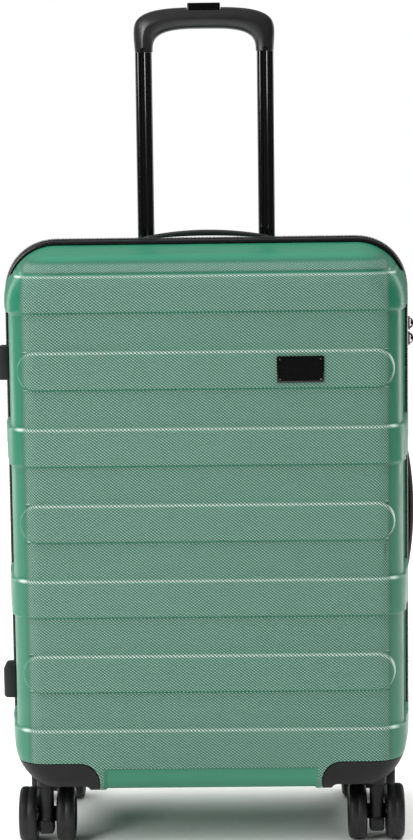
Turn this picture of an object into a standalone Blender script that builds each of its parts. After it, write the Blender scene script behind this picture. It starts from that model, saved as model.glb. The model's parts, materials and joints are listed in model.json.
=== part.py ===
"""A hard shell suitcase on four double wheels, built from its separate pieces.

Metres, +Z up. The origin is on the floor under the middle of the case, +X is to
the right, and the front shell faces -Y. The zip runs round the case in the plane Y = 0.
The trolley is drawn up as it is for wheeling, and the four casters trail to +Y.
"""
import math

import bmesh
import bpy
from mathutils import Matrix, Vector

# Case
CASE_HALF_WIDTH = 0.222
CASE_TOP = 0.664
CASE_BOTTOM = 0.0640
FACE_Y = 0.1325            # outside of a shell's face, from the zip plane
RIM_Y = 0.0055             # edge of a shell, from the zip plane
CORNER_RADIUS = 0.055
EDGE_RADIUS = 0.034
BOTTOM_EDGE_RADIUS = 0.014  # tighter round the lower edge of each face
BOTTOM_BLEND = 0.11        # height over which the tighter edge fades in
DRAFT = 0.008              # how much each side comes in between rim and face
SHELL_WALL = 0.0022
GAP = 0.0003               # between pieces that touch
CORNER_SEGMENTS = 5
EDGE_SEGMENTS = 3

# Raised bands and pads of the shells
BAND_TOP = 0.6387
BAND_PITCH = 0.0414
BAND_STEP = 0.0025
BAND_RAMP = 0.0028
PAD_END = 0.2025
FLAT_RIM = 0.0145          # the shell has no bands nearer the zip than this
HOLLOWS = ((1, 4), (5, 8), (9, 12))
PADS = ((2, 3), (6, 7), (10, 11))

# Zip, piping and lining
PIPING_HEIGHT = 0.0045
PIPING_WIDTH = 0.008
TAPE_HEIGHT = 0.0035
TAPE_DEPTH = 0.0025
LINING_HALF_WIDTH = 0.1995
LINING_TOP = 0.641
LINING_BOTTOM = 0.0965
LINING_RIM_Y = 0.0062
LINING_WALL = 0.001
FRONT_LINING_Y = 0.1255
REAR_LINING_Y = 0.078
HINGE_X = -0.2305

# Trolley
TROLLEY_Y = 0.1
TUBE_X = 0.0697
INNER_TUBE = (0.019, 0.013)
MIDDLE_TUBE = (0.0222, 0.0162)
OUTER_TUBE = (0.0254, 0.0194)
TUBE_WALL = 0.0012
INNER_TUBE_SPAN = (0.560, 0.8767)
MIDDLE_TUBE_SPAN = (0.290, 0.6142)
OUTER_TUBE_SPAN = (0.102, 0.6055)
GRIP_HALF_WIDTH = 0.0805
GRIP_FOOT_HALF_WIDTH = 0.0793
GRIP_FOOT = 0.877
GRIP_SPRING = 0.895        # where the outer arch starts
GRIP_RISE = 0.032
GRIP_SQUARENESS = (3.35, 3.2)
GRIP_HALF_DEPTH = 0.011
GRIP_OPENING = (0.0592, 0.0258)
YOKE_BAR = (0.9095, 0.9130)
YOKE_ROD_END = 0.580
BUTTON_HALF_WIDTH = 0.0188
BUTTON_TOP = 0.932
BEZEL_HALF_WIDTH = 0.094
BEZEL_Y = 0.0815
BEZEL_BOTTOM = 0.606
POCKET_FLOOR = 0.6145

# Casters
CASTER_X = 0.1836
SWIVEL_Y = 0.085
TRAIL = 0.015
WHEEL_RADIUS = 0.031
WHEEL_WIDTH = 0.020
WHEEL_SPACING = 0.0417
WHEEL_STEPS = 20
AXLE_RADIUS = 0.0025
AXLE_HALF_LENGTH = 0.0285
HOUSING_X = 0.1215
HOUSING_Y = 0.030
HOUSING_TOP = 0.1043
HOUSING_RIM = 0.0940        # the tray and its boss end here, under the lining
ARCH_TOP = 0.0785
HOUSING_WALL = 0.003
PIN_RADIUS = 0.004

# Carry handles, feet, badge, lock and zip sliders
HANDLE_HALF_LENGTH = 0.071
HANDLE_WIDTH = 0.020
HANDLE_LEG_X = 0.060
TOP_HANDLE_Y = 0.050
SIDE_HANDLE_Y = 0.040
SIDE_HANDLE_Z = 0.356
SIDE_HANDLE_X = 0.2206
FOOT_SIZE = (0.0125, 0.030, 0.036)
FOOT_Y = 0.058
FOOT_HEIGHTS = (0.5385, 0.1828)
BADGE_CENTRE = (0.1012, 0.5353)
BADGE_SIZE = (0.0505, 0.0285, 0.0018)
LOCK_Z = 0.562
LOCK_Y = (0.0165, 0.050)
LOCK_HALF_HEIGHT = 0.032
LOCK_FACE_X = 0.2255
DIAL_RADIUS = 0.006
DIAL_WIDTH = 0.0036
DIAL_PITCH = 0.0065
SLIDER_HEIGHTS = (0.5715, 0.5545)
SLIDER_X = 0.2258
PULL_X = 0.2307            # axis that a pull turns on
PULL_EYE = (0.0018, 0.0028)
PULL_END_Y = 0.0215

COLOURS = {
    "shell green": ((0.086, 0.262, 0.171), 0.42, 0.0),
    "black plastic": ((0.012, 0.012, 0.013), 0.45, 0.0),
    "black rubber": ((0.010, 0.010, 0.010), 0.60, 0.0),
    "black anodised tube": ((0.010, 0.010, 0.011), 0.22, 1.0),
    "bright steel": ((0.55, 0.55, 0.56), 0.28, 1.0),
    "woven tape": ((0.014, 0.014, 0.015), 0.85, 0.0),
    "grey lining": ((0.10, 0.10, 0.11), 0.80, 0.0),
}


def clamp(value):
    return max(0.0, min(1.0, value))


def clearScene():
    for obj in list(bpy.data.objects):
        bpy.data.objects.remove(obj, do_unlink=True)


def newCollection(name):
    collection = bpy.data.collections.new(name)
    bpy.context.scene.collection.children.link(collection)
    return collection


def newMaterial(name):
    colour, roughness, metallic = COLOURS[name]
    material = bpy.data.materials.new(name)
    material.use_nodes = True
    shader = material.node_tree.nodes["Principled BSDF"]
    shader.inputs["Base Color"].default_value = (*colour, 1.0)
    shader.inputs["Roughness"].default_value = roughness
    shader.inputs["Metallic"].default_value = metallic
    return material


clearScene()
parts = newCollection("suitcase")
cutters = newCollection("cutters")
materials = {name: newMaterial(name) for name in COLOURS}


def toObject(bm, name):
    """The bmesh as a new object, not yet in a collection."""
    mesh = bpy.data.meshes.new(name)
    bm.to_mesh(mesh)
    bm.free()
    return bpy.data.objects.new(name, mesh)


def asPart(obj, finish):
    """Puts an object among the parts, in its finish."""
    obj.data.materials.append(materials[finish])
    parts.objects.link(obj)
    return obj


def asCutter(obj):
    """Puts an object among the shapes that cut or join others."""
    obj.hide_render = True
    obj.display_type = "WIRE"
    cutters.objects.link(obj)
    return obj


def boolean(obj, other, operation):
    modifier = obj.modifiers.new(operation.lower(), "BOOLEAN")
    modifier.operation = operation
    modifier.solver = "EXACT"
    modifier.object = other
    return obj


def cut(obj, *others):
    for other in others:
        boolean(obj, other, "DIFFERENCE")
    return obj


def join(obj, *others):
    for other in others:
        boolean(obj, other, "UNION")
    return obj


def solidify(obj, thickness):
    modifier = obj.modifiers.new("wall", "SOLIDIFY")
    modifier.thickness = thickness
    modifier.offset = -1.0
    modifier.use_even_offset = True
    return obj


def smooth(obj, degrees=35):
    obj.data.shade_smooth()
    obj.data.set_sharp_from_angle(angle=math.radians(degrees))
    return obj


def moveOrigin(obj, point):
    """Moves the object's origin to a point without moving its shape."""
    obj.data.transform(Matrix.Translation(-Vector(point)))
    obj.location = point
    return obj


def pivot(name, point, children, parent=None):
    """An empty on a joint's axis that carries its moving pieces."""
    empty = bpy.data.objects.new(name, None)
    empty.empty_display_size = 0.02
    empty.location = point
    parts.objects.link(empty)
    for child in children:
        child.parent = empty
        child.matrix_parent_inverse = Matrix.Translation(-Vector(point))
    if parent:
        empty.parent = parent
        empty.matrix_parent_inverse = Matrix.Translation(-parent.location)
    return empty


def boxMesh(low, high):
    bm = bmesh.new()
    bmesh.ops.create_cube(bm, size=1.0)
    low = Vector(low)
    high = Vector(high)
    for vert in bm.verts:
        vert.co = Vector(((low[i] if vert.co[i] < 0 else high[i]) for i in range(3)))
    return bm


def bevelEdges(bm, keep, width, segments):
    """Rounds the edges whose two ends both pass the test."""
    edges = [e for e in bm.edges if keep(e.verts[0].co) and keep(e.verts[1].co)]
    bmesh.ops.bevel(bm, geom=edges, offset=width, segments=segments, profile=0.5,
                    affect="EDGES", clamp_overlap=False)
    return bm


def box(name, low, high, rounding=0.0, segments=2):
    """A box between two corners, with all its edges rounded where asked."""
    bm = boxMesh(low, high)
    if rounding:
        bevelEdges(bm, lambda co: True, rounding, segments)
    return toObject(bm, name)


def rod(name, radius, start, end, segments=16):
    """A round bar between two points."""
    start = Vector(start)
    end = Vector(end)
    along = end - start
    bm = bmesh.new()
    bmesh.ops.create_cone(bm, cap_ends=True, segments=segments, radius1=radius,
                          radius2=radius, depth=along.length)
    turn = along.to_track_quat("Z", "Y").to_matrix().to_4x4()
    bmesh.ops.transform(bm, matrix=Matrix.Translation((start + end) / 2) @ turn, verts=bm.verts)
    return toObject(bm, name)


def outlinePrism(name, points, low, high, axis):
    """A flat outline given thickness along X or Y."""
    curve = bpy.data.curves.new(name, "CURVE")
    curve.dimensions = "2D"
    curve.fill_mode = "BOTH"
    curve.extrude = (high - low) / 2
    spline = curve.splines.new("POLY")
    spline.points.add(len(points) - 1)
    for point, (across, up) in zip(spline.points, points):
        point.co = (across, up, 0.0, 1.0)
    spline.use_cyclic_u = True
    obj = bpy.data.objects.new(name + "_outline", curve)
    middle = (high + low) / 2
    if axis == "Y":
        obj.matrix_world = Matrix.Translation((0, middle, 0)) @ Matrix.Rotation(math.pi / 2, 4, "X")
    else:
        turn = Matrix.Rotation(math.pi / 2, 4, "Z") @ Matrix.Rotation(math.pi / 2, 4, "X")
        obj.matrix_world = Matrix.Translation((middle, 0, 0)) @ turn
    cutters.objects.link(obj)
    place = obj.matrix_world.copy()
    bpy.context.view_layer.update()
    mesh = bpy.data.meshes.new_from_object(obj.evaluated_get(bpy.context.evaluated_depsgraph_get()))
    bm = bmesh.new()
    bm.from_mesh(mesh)
    bmesh.ops.remove_doubles(bm, verts=bm.verts, dist=0.00001)
    bmesh.ops.transform(bm, matrix=place, verts=bm.verts)
    bmesh.ops.recalc_face_normals(bm, faces=bm.faces)
    bpy.data.objects.remove(obj, do_unlink=True)
    bpy.data.meshes.remove(mesh)
    return toObject(bm, name)


# ---- case shape ----

def bandEdge(number):
    return BAND_TOP - number * BAND_PITCH


def inBetween(value, low, high):
    """1 well inside a span, 0 outside, with a short ramp at both ends."""
    return clamp(min(value - low, high - value) / BAND_RAMP + 0.5)


def hollowDepth(point):
    """How far the skin lies under the raised bands at a point."""
    hollow = 0.0
    for (upper, lower), (padUpper, padLower) in zip(HOLLOWS, PADS):
        sunk = inBetween(point.z, bandEdge(lower), bandEdge(upper))
        pad = inBetween(point.z, bandEdge(padLower), bandEdge(padUpper))
        pad *= inBetween(point.x, -PAD_END, PAD_END)
        hollow += sunk * (1.0 - pad)
    rim = clamp((abs(point.y) - FLAT_RIM) / BAND_RAMP)
    return BAND_STEP * hollow * rim


def caseSkin(side, inset, rimY, faceY, edgeRadius):
    """The rounded tub of one half of the case, closed at the rim too."""
    halfWidth = CASE_HALF_WIDTH - inset
    bottom = CASE_BOTTOM + inset
    top = CASE_TOP - inset
    bm = tub(side, halfWidth, bottom, top, rimY, faceY, CORNER_RADIUS - inset, edgeRadius)
    tight = BOTTOM_EDGE_RADIUS - inset
    for vert in bm.verts:
        wide = recess(abs(vert.co.y) - faceY, edgeRadius)
        drop = wide - recess(abs(vert.co.y) - faceY, tight)
        blend = (bottom + BOTTOM_BLEND - vert.co.z) / (BOTTOM_BLEND - wide)
        vert.co.z -= drop * clamp(blend)
    return bm


def recess(beyond, radius):
    """How far a rounded edge has come in at a depth, measured from the face."""
    depth = max(0.0, beyond + radius)
    return radius - math.sqrt(max(0.0, radius ** 2 - depth ** 2))


def tub(side, halfWidth, bottom, top, rimY, faceY, cornerRadius, edgeRadius,
        cornerSegments=CORNER_SEGMENTS, edgeSegments=EDGE_SEGMENTS):
    near, far = sorted((side * rimY, side * faceY))
    bm = boxMesh((-halfWidth, near, bottom), (halfWidth, far, top))
    lengthwise = [e for e in bm.edges if abs(e.verts[0].co.y - e.verts[1].co.y) > 0.001]
    bmesh.ops.bevel(bm, geom=lengthwise, offset=cornerRadius, segments=cornerSegments,
                    profile=0.5, affect="EDGES", clamp_overlap=False)
    bevelEdges(bm, lambda co: abs(co.y - side * faceY) < 1e-6, edgeRadius, edgeSegments)
    middle = (bottom + top) / 2
    halfHeight = (top - bottom) / 2
    for vert in bm.verts:
        share = abs(vert.co.y) / FACE_Y
        vert.co.x *= 1.0 - DRAFT / halfWidth * share
        vert.co.z = middle + (vert.co.z - middle) * (1.0 - DRAFT / halfHeight * share)
    return bm


def openRim(bm, side, rimY):
    rim = [f for f in bm.faces if all(abs(v.co.y - side * rimY) < 1e-6 for v in f.verts)]
    bmesh.ops.delete(bm, geom=rim, context="FACES")


def sliceAt(bm, point, normal):
    everything = bm.verts[:] + bm.edges[:] + bm.faces[:]
    bmesh.ops.bisect_plane(bm, geom=everything, dist=1e-6, plane_co=point, plane_no=normal)


def makeShell(name, side):
    """One pressed shell with its raised bands and pads."""
    bm = caseSkin(side, 0.0, RIM_Y, FACE_Y, EDGE_RADIUS)
    openRim(bm, side, RIM_Y)
    half = BAND_RAMP / 2
    for number in range(1, 13):
        sliceAt(bm, (0, 0, bandEdge(number) - half), (0, 0, 1))
        sliceAt(bm, (0, 0, bandEdge(number) + half), (0, 0, 1))
    for end in (-PAD_END, PAD_END):
        sliceAt(bm, (end - half, 0, 0), (1, 0, 0))
        sliceAt(bm, (end + half, 0, 0), (1, 0, 0))
    sliceAt(bm, (0, side * FLAT_RIM, 0), (0, 1, 0))
    sliceAt(bm, (0, side * (FLAT_RIM + BAND_RAMP), 0), (0, 1, 0))
    bm.normal_update()
    moves = [(vert, vert.normal * hollowDepth(vert.co)) for vert in bm.verts]
    for vert, move in moves:
        vert.co -= move
    shell = asPart(toObject(bm, name), "shell green")
    return smooth(solidify(shell, SHELL_WALL), 25)


def cornerBlock(name, side, hand, gap):
    """The rounded block of a lower corner that the caster housing takes up."""
    low, high = sorted((hand * (HOUSING_X + gap), hand * 0.26))
    near, far = sorted((side * (HOUSING_Y + gap), side * 0.16))
    bm = boxMesh((low, near, 0.050), (high, far, HOUSING_TOP - gap))

    def onInnerCorner(co):
        walls = [abs(co.x - hand * (HOUSING_X + gap)) < 1e-6]
        walls.append(abs(co.y - side * (HOUSING_Y + gap)) < 1e-6)
        walls.append(abs(co.z - (HOUSING_TOP - gap)) < 1e-6)
        return walls

    edges = []
    for edge in bm.edges:
        first, second = (onInnerCorner(vert.co) for vert in edge.verts)
        if sum(a and b for a, b in zip(first, second)) == 2:
            edges.append(edge)
    bmesh.ops.bevel(bm, geom=edges, offset=0.022, segments=4, profile=0.5,
                    affect="EDGES", clamp_overlap=False)
    return asCutter(toObject(bm, name))


def makeHousing(name, side, hand):
    """The moulded corner that holds a caster: a thin tray with a boss for its pin."""
    block = cornerBlock(name + "_block", side, hand, GAP)
    bm = caseSkin(side, 0.0, RIM_Y, FACE_Y, EDGE_RADIUS)
    housing = asPart(toObject(bm, name), "black plastic")
    boolean(housing, block, "INTERSECT")
    swivel = Vector((hand * CASTER_X, side * SWIVEL_Y, 0))
    low, high = sorted((hand * (HOUSING_X + HOUSING_WALL), hand * 0.27))
    near, far = sorted((side * (HOUSING_Y + HOUSING_WALL), side * 0.17))
    room = asCutter(box(name + "_room", (low, near, ARCH_TOP + HOUSING_WALL), (high, far, 0.12)))
    boss = rod(name + "_boss", 0.011, swivel + Vector((0, 0, 0.07)), swivel + Vector((0, 0, 0.13)))
    cut(room, asCutter(boss))
    low, high = sorted((hand * (HOUSING_X - 0.01), hand * 0.28))
    near, far = sorted((side * (HOUSING_Y - 0.01), side * 0.18))
    boolean(room, asCutter(box(name + "_over", (low, near, HOUSING_RIM), (high, far, 0.13))), "UNION")
    inner = caseSkin(side, HOUSING_WALL, RIM_Y, FACE_Y - HOUSING_WALL, EDGE_RADIUS - HOUSING_WALL)
    boolean(room, asCutter(toObject(inner, name + "_inside")), "INTERSECT")
    low, high = sorted((hand * 0.132, hand * 0.27))
    near, far = sorted((side * 0.034, side * 0.17))
    arch = boxMesh((low, near, 0.03), (high, far, ARCH_TOP))
    bevelEdges(arch, lambda co: abs(co.x - hand * 0.132) < 1e-6 and co.z > 0.07, 0.007, 3)
    bore = asCutter(rod(name + "_bore", PIN_RADIUS + GAP, swivel + Vector((0, 0, 0.06)),
                        swivel + Vector((0, 0, 0.13))))
    cut(housing, room, asCutter(toObject(arch, name + "_arch")), bore)
    return smooth(housing, 30)


# ---- zip, piping and inside ----

def makeRing(name, side, near, far, inner, outer, finish):
    """A band round the case's rim, between two distances out from the shell's edge."""
    halfWidth = CASE_HALF_WIDTH + outer
    low, high = sorted((side * near, side * far))
    bm = boxMesh((-halfWidth, low, CASE_BOTTOM - outer), (halfWidth, high, CASE_TOP + outer))
    lengthwise = [e for e in bm.edges if abs(e.verts[0].co.y - e.verts[1].co.y) > 0.001]
    bmesh.ops.bevel(bm, geom=lengthwise, offset=CORNER_RADIUS + outer, segments=CORNER_SEGMENTS,
                    profile=0.5, affect="EDGES", clamp_overlap=False)
    ends = [f for f in bm.faces if abs(f.normal.y) > 0.9]
    bmesh.ops.delete(bm, geom=ends, context="FACES")
    ring = asPart(toObject(bm, name), finish)
    return solidify(ring, outer - inner)


def makeLining(name, side, depth):
    """The fabric tray inside one half, with the flange that is sewn in at the zip."""
    bm = tub(side, LINING_HALF_WIDTH, LINING_BOTTOM, LINING_TOP, LINING_RIM_Y, depth,
             0.045, 0.025, 4, 2)
    openRim(bm, side, LINING_RIM_Y)
    rim = [e for e in bm.edges if e.is_boundary]
    flange = bmesh.ops.extrude_edge_only(bm, edges=rim)
    middle = Vector((0, 0, (CASE_TOP + CASE_BOTTOM) / 2))
    for vert in [v for v in flange["geom"] if isinstance(v, bmesh.types.BMVert)]:
        away = vert.co - middle
        vert.co.x += math.copysign(0.0165, away.x)
        vert.co.z += 0.0165 if away.z > 0 else -0.0185
    bmesh.ops.recalc_face_normals(bm, faces=bm.faces)
    lining = asPart(toObject(bm, name), "grey lining")
    return solidify(lining, LINING_WALL)


def roundedPanel(name, halfWidth, bottom, top, radius, near, far):
    """A flat panel in the XZ plane with round corners."""
    bm = boxMesh((-halfWidth, near, bottom), (halfWidth, far, top))
    lengthwise = [e for e in bm.edges if abs(e.verts[0].co.y - e.verts[1].co.y) > 0.0001]
    bmesh.ops.bevel(bm, geom=lengthwise, offset=radius, segments=5, profile=0.5,
                    affect="EDGES", clamp_overlap=False)
    return toObject(bm, name)


def makeStraps():
    """Two packing straps that cross over the rear half."""
    reach = math.hypot(0.170, 0.235)
    lean = math.atan2(0.235, 0.170)
    middle = Vector((0, 0.0105, 0.368))
    straps = None
    for turn in (lean, -lean):
        bm = boxMesh((-reach, -0.00075, -0.0125), (reach, 0.00075, 0.0125))
        matrix = Matrix.Translation(middle) @ Matrix.Rotation(turn, 4, "Y")
        bmesh.ops.transform(bm, matrix=matrix, verts=bm.verts)
        strap = toObject(bm, "packing_straps")
        if straps is None:
            straps = asPart(strap, "woven tape")
        else:
            strap.name = "second_strap"
            join(straps, asCutter(strap))
    return straps


# ---- trolley ----

def makeTube(name, x, size, span, finish):
    """A rounded rectangular tube, open at both ends."""
    width, depth = size
    low = (x - width / 2, TROLLEY_Y - depth / 2, span[0])
    high = (x + width / 2, TROLLEY_Y + depth / 2, span[1])
    bm = boxMesh(low, high)
    upright = [e for e in bm.edges if abs(e.verts[0].co.z - e.verts[1].co.z) > 0.001]
    bmesh.ops.bevel(bm, geom=upright, offset=0.004, segments=3, profile=0.5, affect="EDGES")
    ends = [f for f in bm.faces if abs(f.normal.z) > 0.9]
    bmesh.ops.delete(bm, geom=ends, context="FACES")
    tube = asPart(toObject(bm, name), finish)
    return smooth(solidify(tube, TUBE_WALL))


def arch(halfWidth, foot, rise, squareness, steps):
    """Upper half of a superellipse, from its +X end to its -X end."""
    points = []
    for step in range(steps + 1):
        angle = math.pi * step / steps
        across = math.copysign(abs(math.cos(angle)) ** (2 / squareness), math.cos(angle))
        points.append((halfWidth * across, foot + rise * math.sin(angle) ** (2 / squareness)))
    return points


def gripOutline():
    """The arched outer line and the hand opening."""
    outer = arch(GRIP_HALF_WIDTH, GRIP_SPRING, GRIP_RISE, GRIP_SQUARENESS[0], 18)
    inner = arch(GRIP_OPENING[0], GRIP_FOOT, GRIP_OPENING[1], GRIP_SQUARENESS[1], 12)
    feet = [(hand * GRIP_FOOT_HALF_WIDTH, GRIP_FOOT) for hand in (1, -1)]
    return feet[:1] + outer + feet[1:] + inner[::-1]


def makeGrip():
    low = TROLLEY_Y - GRIP_HALF_DEPTH
    high = TROLLEY_Y + GRIP_HALF_DEPTH
    grip = asPart(outlinePrism("trolley_grip", gripOutline(), low, high, "Y"), "black plastic")
    bevel = grip.modifiers.new("round", "BEVEL")
    bevel.width = 0.0035
    bevel.segments = 1
    bevel.limit_method = "ANGLE"
    bevel.angle_limit = math.radians(50)
    width = INNER_TUBE[0] - 2 * TUBE_WALL - 2 * GAP
    depth = INNER_TUBE[1] - 2 * TUBE_WALL - 2 * GAP
    for hand in (-1, 1):
        x = hand * TUBE_X
        low = (x - width / 2, TROLLEY_Y - depth / 2, GRIP_FOOT - 0.014)
        high = (x + width / 2, TROLLEY_Y + depth / 2, GRIP_FOOT + 0.004)
        join(grip, asCutter(box("grip_spigot", low, high, 0.003)))
    slot = box("yoke_slot", (-TUBE_X - 0.0035, TROLLEY_Y - 0.0035, YOKE_BAR[0] - 0.0035),
               (TUBE_X + 0.0035, TROLLEY_Y + 0.0035, YOKE_BAR[1] + GAP))
    cut(grip, asCutter(slot))
    for hand in (-1, 1):
        low = (hand * TUBE_X - 0.0035, TROLLEY_Y - 0.0035, GRIP_FOOT - 0.02)
        high = (hand * TUBE_X + 0.0035, TROLLEY_Y + 0.0035, YOKE_BAR[0])
        cut(grip, asCutter(box("rod_channel", low, high)))
    well = box("button_well", (-BUTTON_HALF_WIDTH - GAP, TROLLEY_Y - 0.0068, YOKE_BAR[0]),
               (BUTTON_HALF_WIDTH + GAP, TROLLEY_Y + 0.0068, 0.95))
    return smooth(cut(grip, asCutter(well)))


def makeYoke():
    """The bar under the button, with the two rods that run down to the tube locks."""
    half = 0.003
    yoke = box("lock_yoke", (-TUBE_X - half, TROLLEY_Y - half, YOKE_BAR[0]),
               (TUBE_X + half, TROLLEY_Y + half, YOKE_BAR[1]))
    asPart(yoke, "bright steel")
    for hand in (-1, 1):
        low = (hand * TUBE_X - 0.0025, TROLLEY_Y - 0.0025, YOKE_ROD_END)
        high = (hand * TUBE_X + 0.0025, TROLLEY_Y + 0.0025, YOKE_BAR[1] - 0.001)
        join(yoke, asCutter(box("yoke_rod", low, high)))
    return yoke


def makeBezel():
    """The moulded frame in the top of the rear shell that takes the grip when it is down."""
    bm = caseSkin(1, 0.0, RIM_Y, FACE_Y, EDGE_RADIUS)
    bezel = asPart(toObject(bm, "trolley_bezel"), "black plastic")
    block = box("bezel_block", (-BEZEL_HALF_WIDTH, BEZEL_Y, BEZEL_BOTTOM), (BEZEL_HALF_WIDTH, 0.16, 0.70))
    boolean(bezel, asCutter(block), "INTERSECT")
    pocket = boxMesh((-0.0835, TROLLEY_Y - 0.0125, POCKET_FLOOR), (0.0835, TROLLEY_Y + 0.0125, 0.72))
    upright = [e for e in pocket.edges if abs(e.verts[0].co.z - e.verts[1].co.z) > 0.001]
    bmesh.ops.bevel(pocket, geom=upright, offset=0.006, segments=3, profile=0.5, affect="EDGES")
    cut(bezel, asCutter(toObject(pocket, "grip_pocket")))
    for hand in (-1, 1):
        width = MIDDLE_TUBE[0] / 2 + GAP
        depth = MIDDLE_TUBE[1] / 2 + GAP
        low = (hand * TUBE_X - width, TROLLEY_Y - depth, 0.59)
        high = (hand * TUBE_X + width, TROLLEY_Y + depth, 0.63)
        cut(bezel, asCutter(box("tube_hole", low, high)))
    return smooth(bezel, 30)


# ---- carry handles ----

def makeHandle(name, place, holes):
    """A low carry handle that lifts on two legs, in its own frame: X along, Z out.

    The holes for its legs are added to the list, for the shell below."""
    reach = HANDLE_HALF_LENGTH + 0.001
    base = box(name + "_base", (-reach, -0.0125, 0), (reach, 0.0125, 0.0026), 0.0012)
    outline = []
    for step in range(17):
        across = -1 + step / 8
        outline.append((HANDLE_HALF_LENGTH * across, 0.0065 + 0.0070 * (1 - across ** 2)))
    for step in range(17):
        across = 1 - step / 8
        outline.append(((HANDLE_HALF_LENGTH - 0.001) * across, 0.0035 + 0.0035 * (1 - across ** 2)))
    half = HANDLE_WIDTH / 2
    grip = outlinePrism(name + "_grip", outline, -half, half, "Y")
    for hand in (-1, 1):
        x = hand * HANDLE_LEG_X
        leg = box(name + "_leg", (x - 0.004, -0.005, -0.0165), (x + 0.004, 0.005, 0.0065))
        foot = box(name + "_leg_foot", (x - 0.0065, -0.007, -0.0185), (x + 0.0065, 0.007, -0.0160))
        width = 0.004 + GAP
        depth = 0.005 + GAP
        hole = box(name + "_leg_hole", (x - width, -depth, -0.03), (x + width, depth, 0.02))
        for piece in (leg, foot, hole):
            piece.matrix_world = place
            asCutter(piece)
        join(grip, leg, foot)
        cut(base, hole)
        holes.append(hole)
    for piece in (base, grip):
        piece.matrix_world = place
        asPart(piece, "black plastic")
    return smooth(grip, 40)


# ---- casters ----

def wheelProfile():
    """Half section of a wheel from its bore round to its bore again: radius, distance across."""
    half = WHEEL_WIDTH / 2
    return [(0.0031, half - 0.0015), (0.0215, half - 0.0030), (0.0235, half), (0.0290, half - 0.0012),
            (WHEEL_RADIUS, half - 0.0060)]


def makeWheel(name, centre):
    half = wheelProfile()
    profile = half + [(radius, -across) for radius, across in reversed(half)]
    bm = bmesh.new()
    verts = [bm.verts.new((radius, 0, -across)) for radius, across in reversed(profile)]
    for first, second in zip(verts, verts[1:] + verts[:1]):
        bm.edges.new((first, second))
    wheel = toObject(bm, name)
    screw = wheel.modifiers.new("turn", "SCREW")
    screw.steps = WHEEL_STEPS
    screw.render_steps = WHEEL_STEPS
    screw.use_merge_vertices = True
    screw.merge_threshold = 0.00005
    screw.use_normal_calculate = True
    half_step = math.pi / WHEEL_STEPS
    wheel.matrix_world = (Matrix.Translation(centre) @ Matrix.Rotation(half_step, 4, "X")
                          @ Matrix.Rotation(math.pi / 2, 4, "Y"))
    return smooth(asPart(wheel, "black rubber"))


def makeCaster(where, side, hand, parent):
    """Fork, axle and two wheels of one caster, on a pivot on the swivel axis."""
    x = hand * CASTER_X
    y = side * SWIVEL_Y
    axleZ = WHEEL_RADIUS * math.cos(math.pi / WHEEL_STEPS)
    axleY = y + TRAIL
    fork = rod("caster_fork_" + where, 0.0105, (x, y, 0.0665), (x, y, ARCH_TOP - GAP))
    asPart(fork, "black plastic")
    stem = rod("stem", 0.0080, (x, y, 0.018), (x, y, 0.068), 12)
    pin = rod("pin", PIN_RADIUS, (x, y, 0.074), (x, y, 0.0935), 12)
    web = box("web", (x - 0.0055, y, 0.020), (x + 0.0055, axleY + 0.008, 0.050), 0.002, 1)
    hub = rod("hub", 0.0085, (x - 0.0104, axleY, axleZ), (x + 0.0104, axleY, axleZ), 12)
    hood = box("hood", (x - 0.0083, y - 0.0098, 0.0135), (x + 0.0083, y + 0.012, 0.030), 0.0025, 1)
    join(fork, *(asCutter(piece) for piece in (stem, pin, web, hub, hood)))
    start = (x - 0.03, axleY, axleZ)
    end = (x + 0.03, axleY, axleZ)
    cut(fork, asCutter(rod("axle_hole", AXLE_RADIUS + GAP, start, end, 12)))
    moveOrigin(fork, (x, y, axleZ))
    start = (x - AXLE_HALF_LENGTH, axleY, axleZ)
    end = (x + AXLE_HALF_LENGTH, axleY, axleZ)
    axle = asPart(rod("caster_axle_" + where, AXLE_RADIUS, start, end, 12), "bright steel")
    moveOrigin(axle, (x, axleY, axleZ))
    wheels = []
    for mark, offset in (("left", -WHEEL_SPACING / 2), ("right", WHEEL_SPACING / 2)):
        wheels.append(makeWheel("wheel_%s_%s" % (where, mark), (x + offset, axleY, axleZ)))
    pivot("caster_pivot_" + where, (x, y, axleZ), [smooth(fork), axle] + wheels, parent)


# ---- small pieces ----

def makeFoot(name, side, z):
    """A bumper on the left wall that the case rests on when it lies on its side."""
    depth, length, height = FOOT_SIZE
    bm = boxMesh((-depth, -length / 2, -height / 2), (0, length / 2, height / 2))
    bevelEdges(bm, lambda co: co.x < -depth / 2, 0.005, 2)
    wall = CASE_HALF_WIDTH - DRAFT * (FOOT_Y / FACE_Y) - BAND_STEP
    lean = math.atan2(DRAFT, FACE_Y)
    foot = asPart(toObject(bm, name), "black plastic")
    foot.location = (-wall - 0.0008, side * FOOT_Y, z)
    foot.rotation_euler = (0, 0, side * -lean)
    return foot


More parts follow.
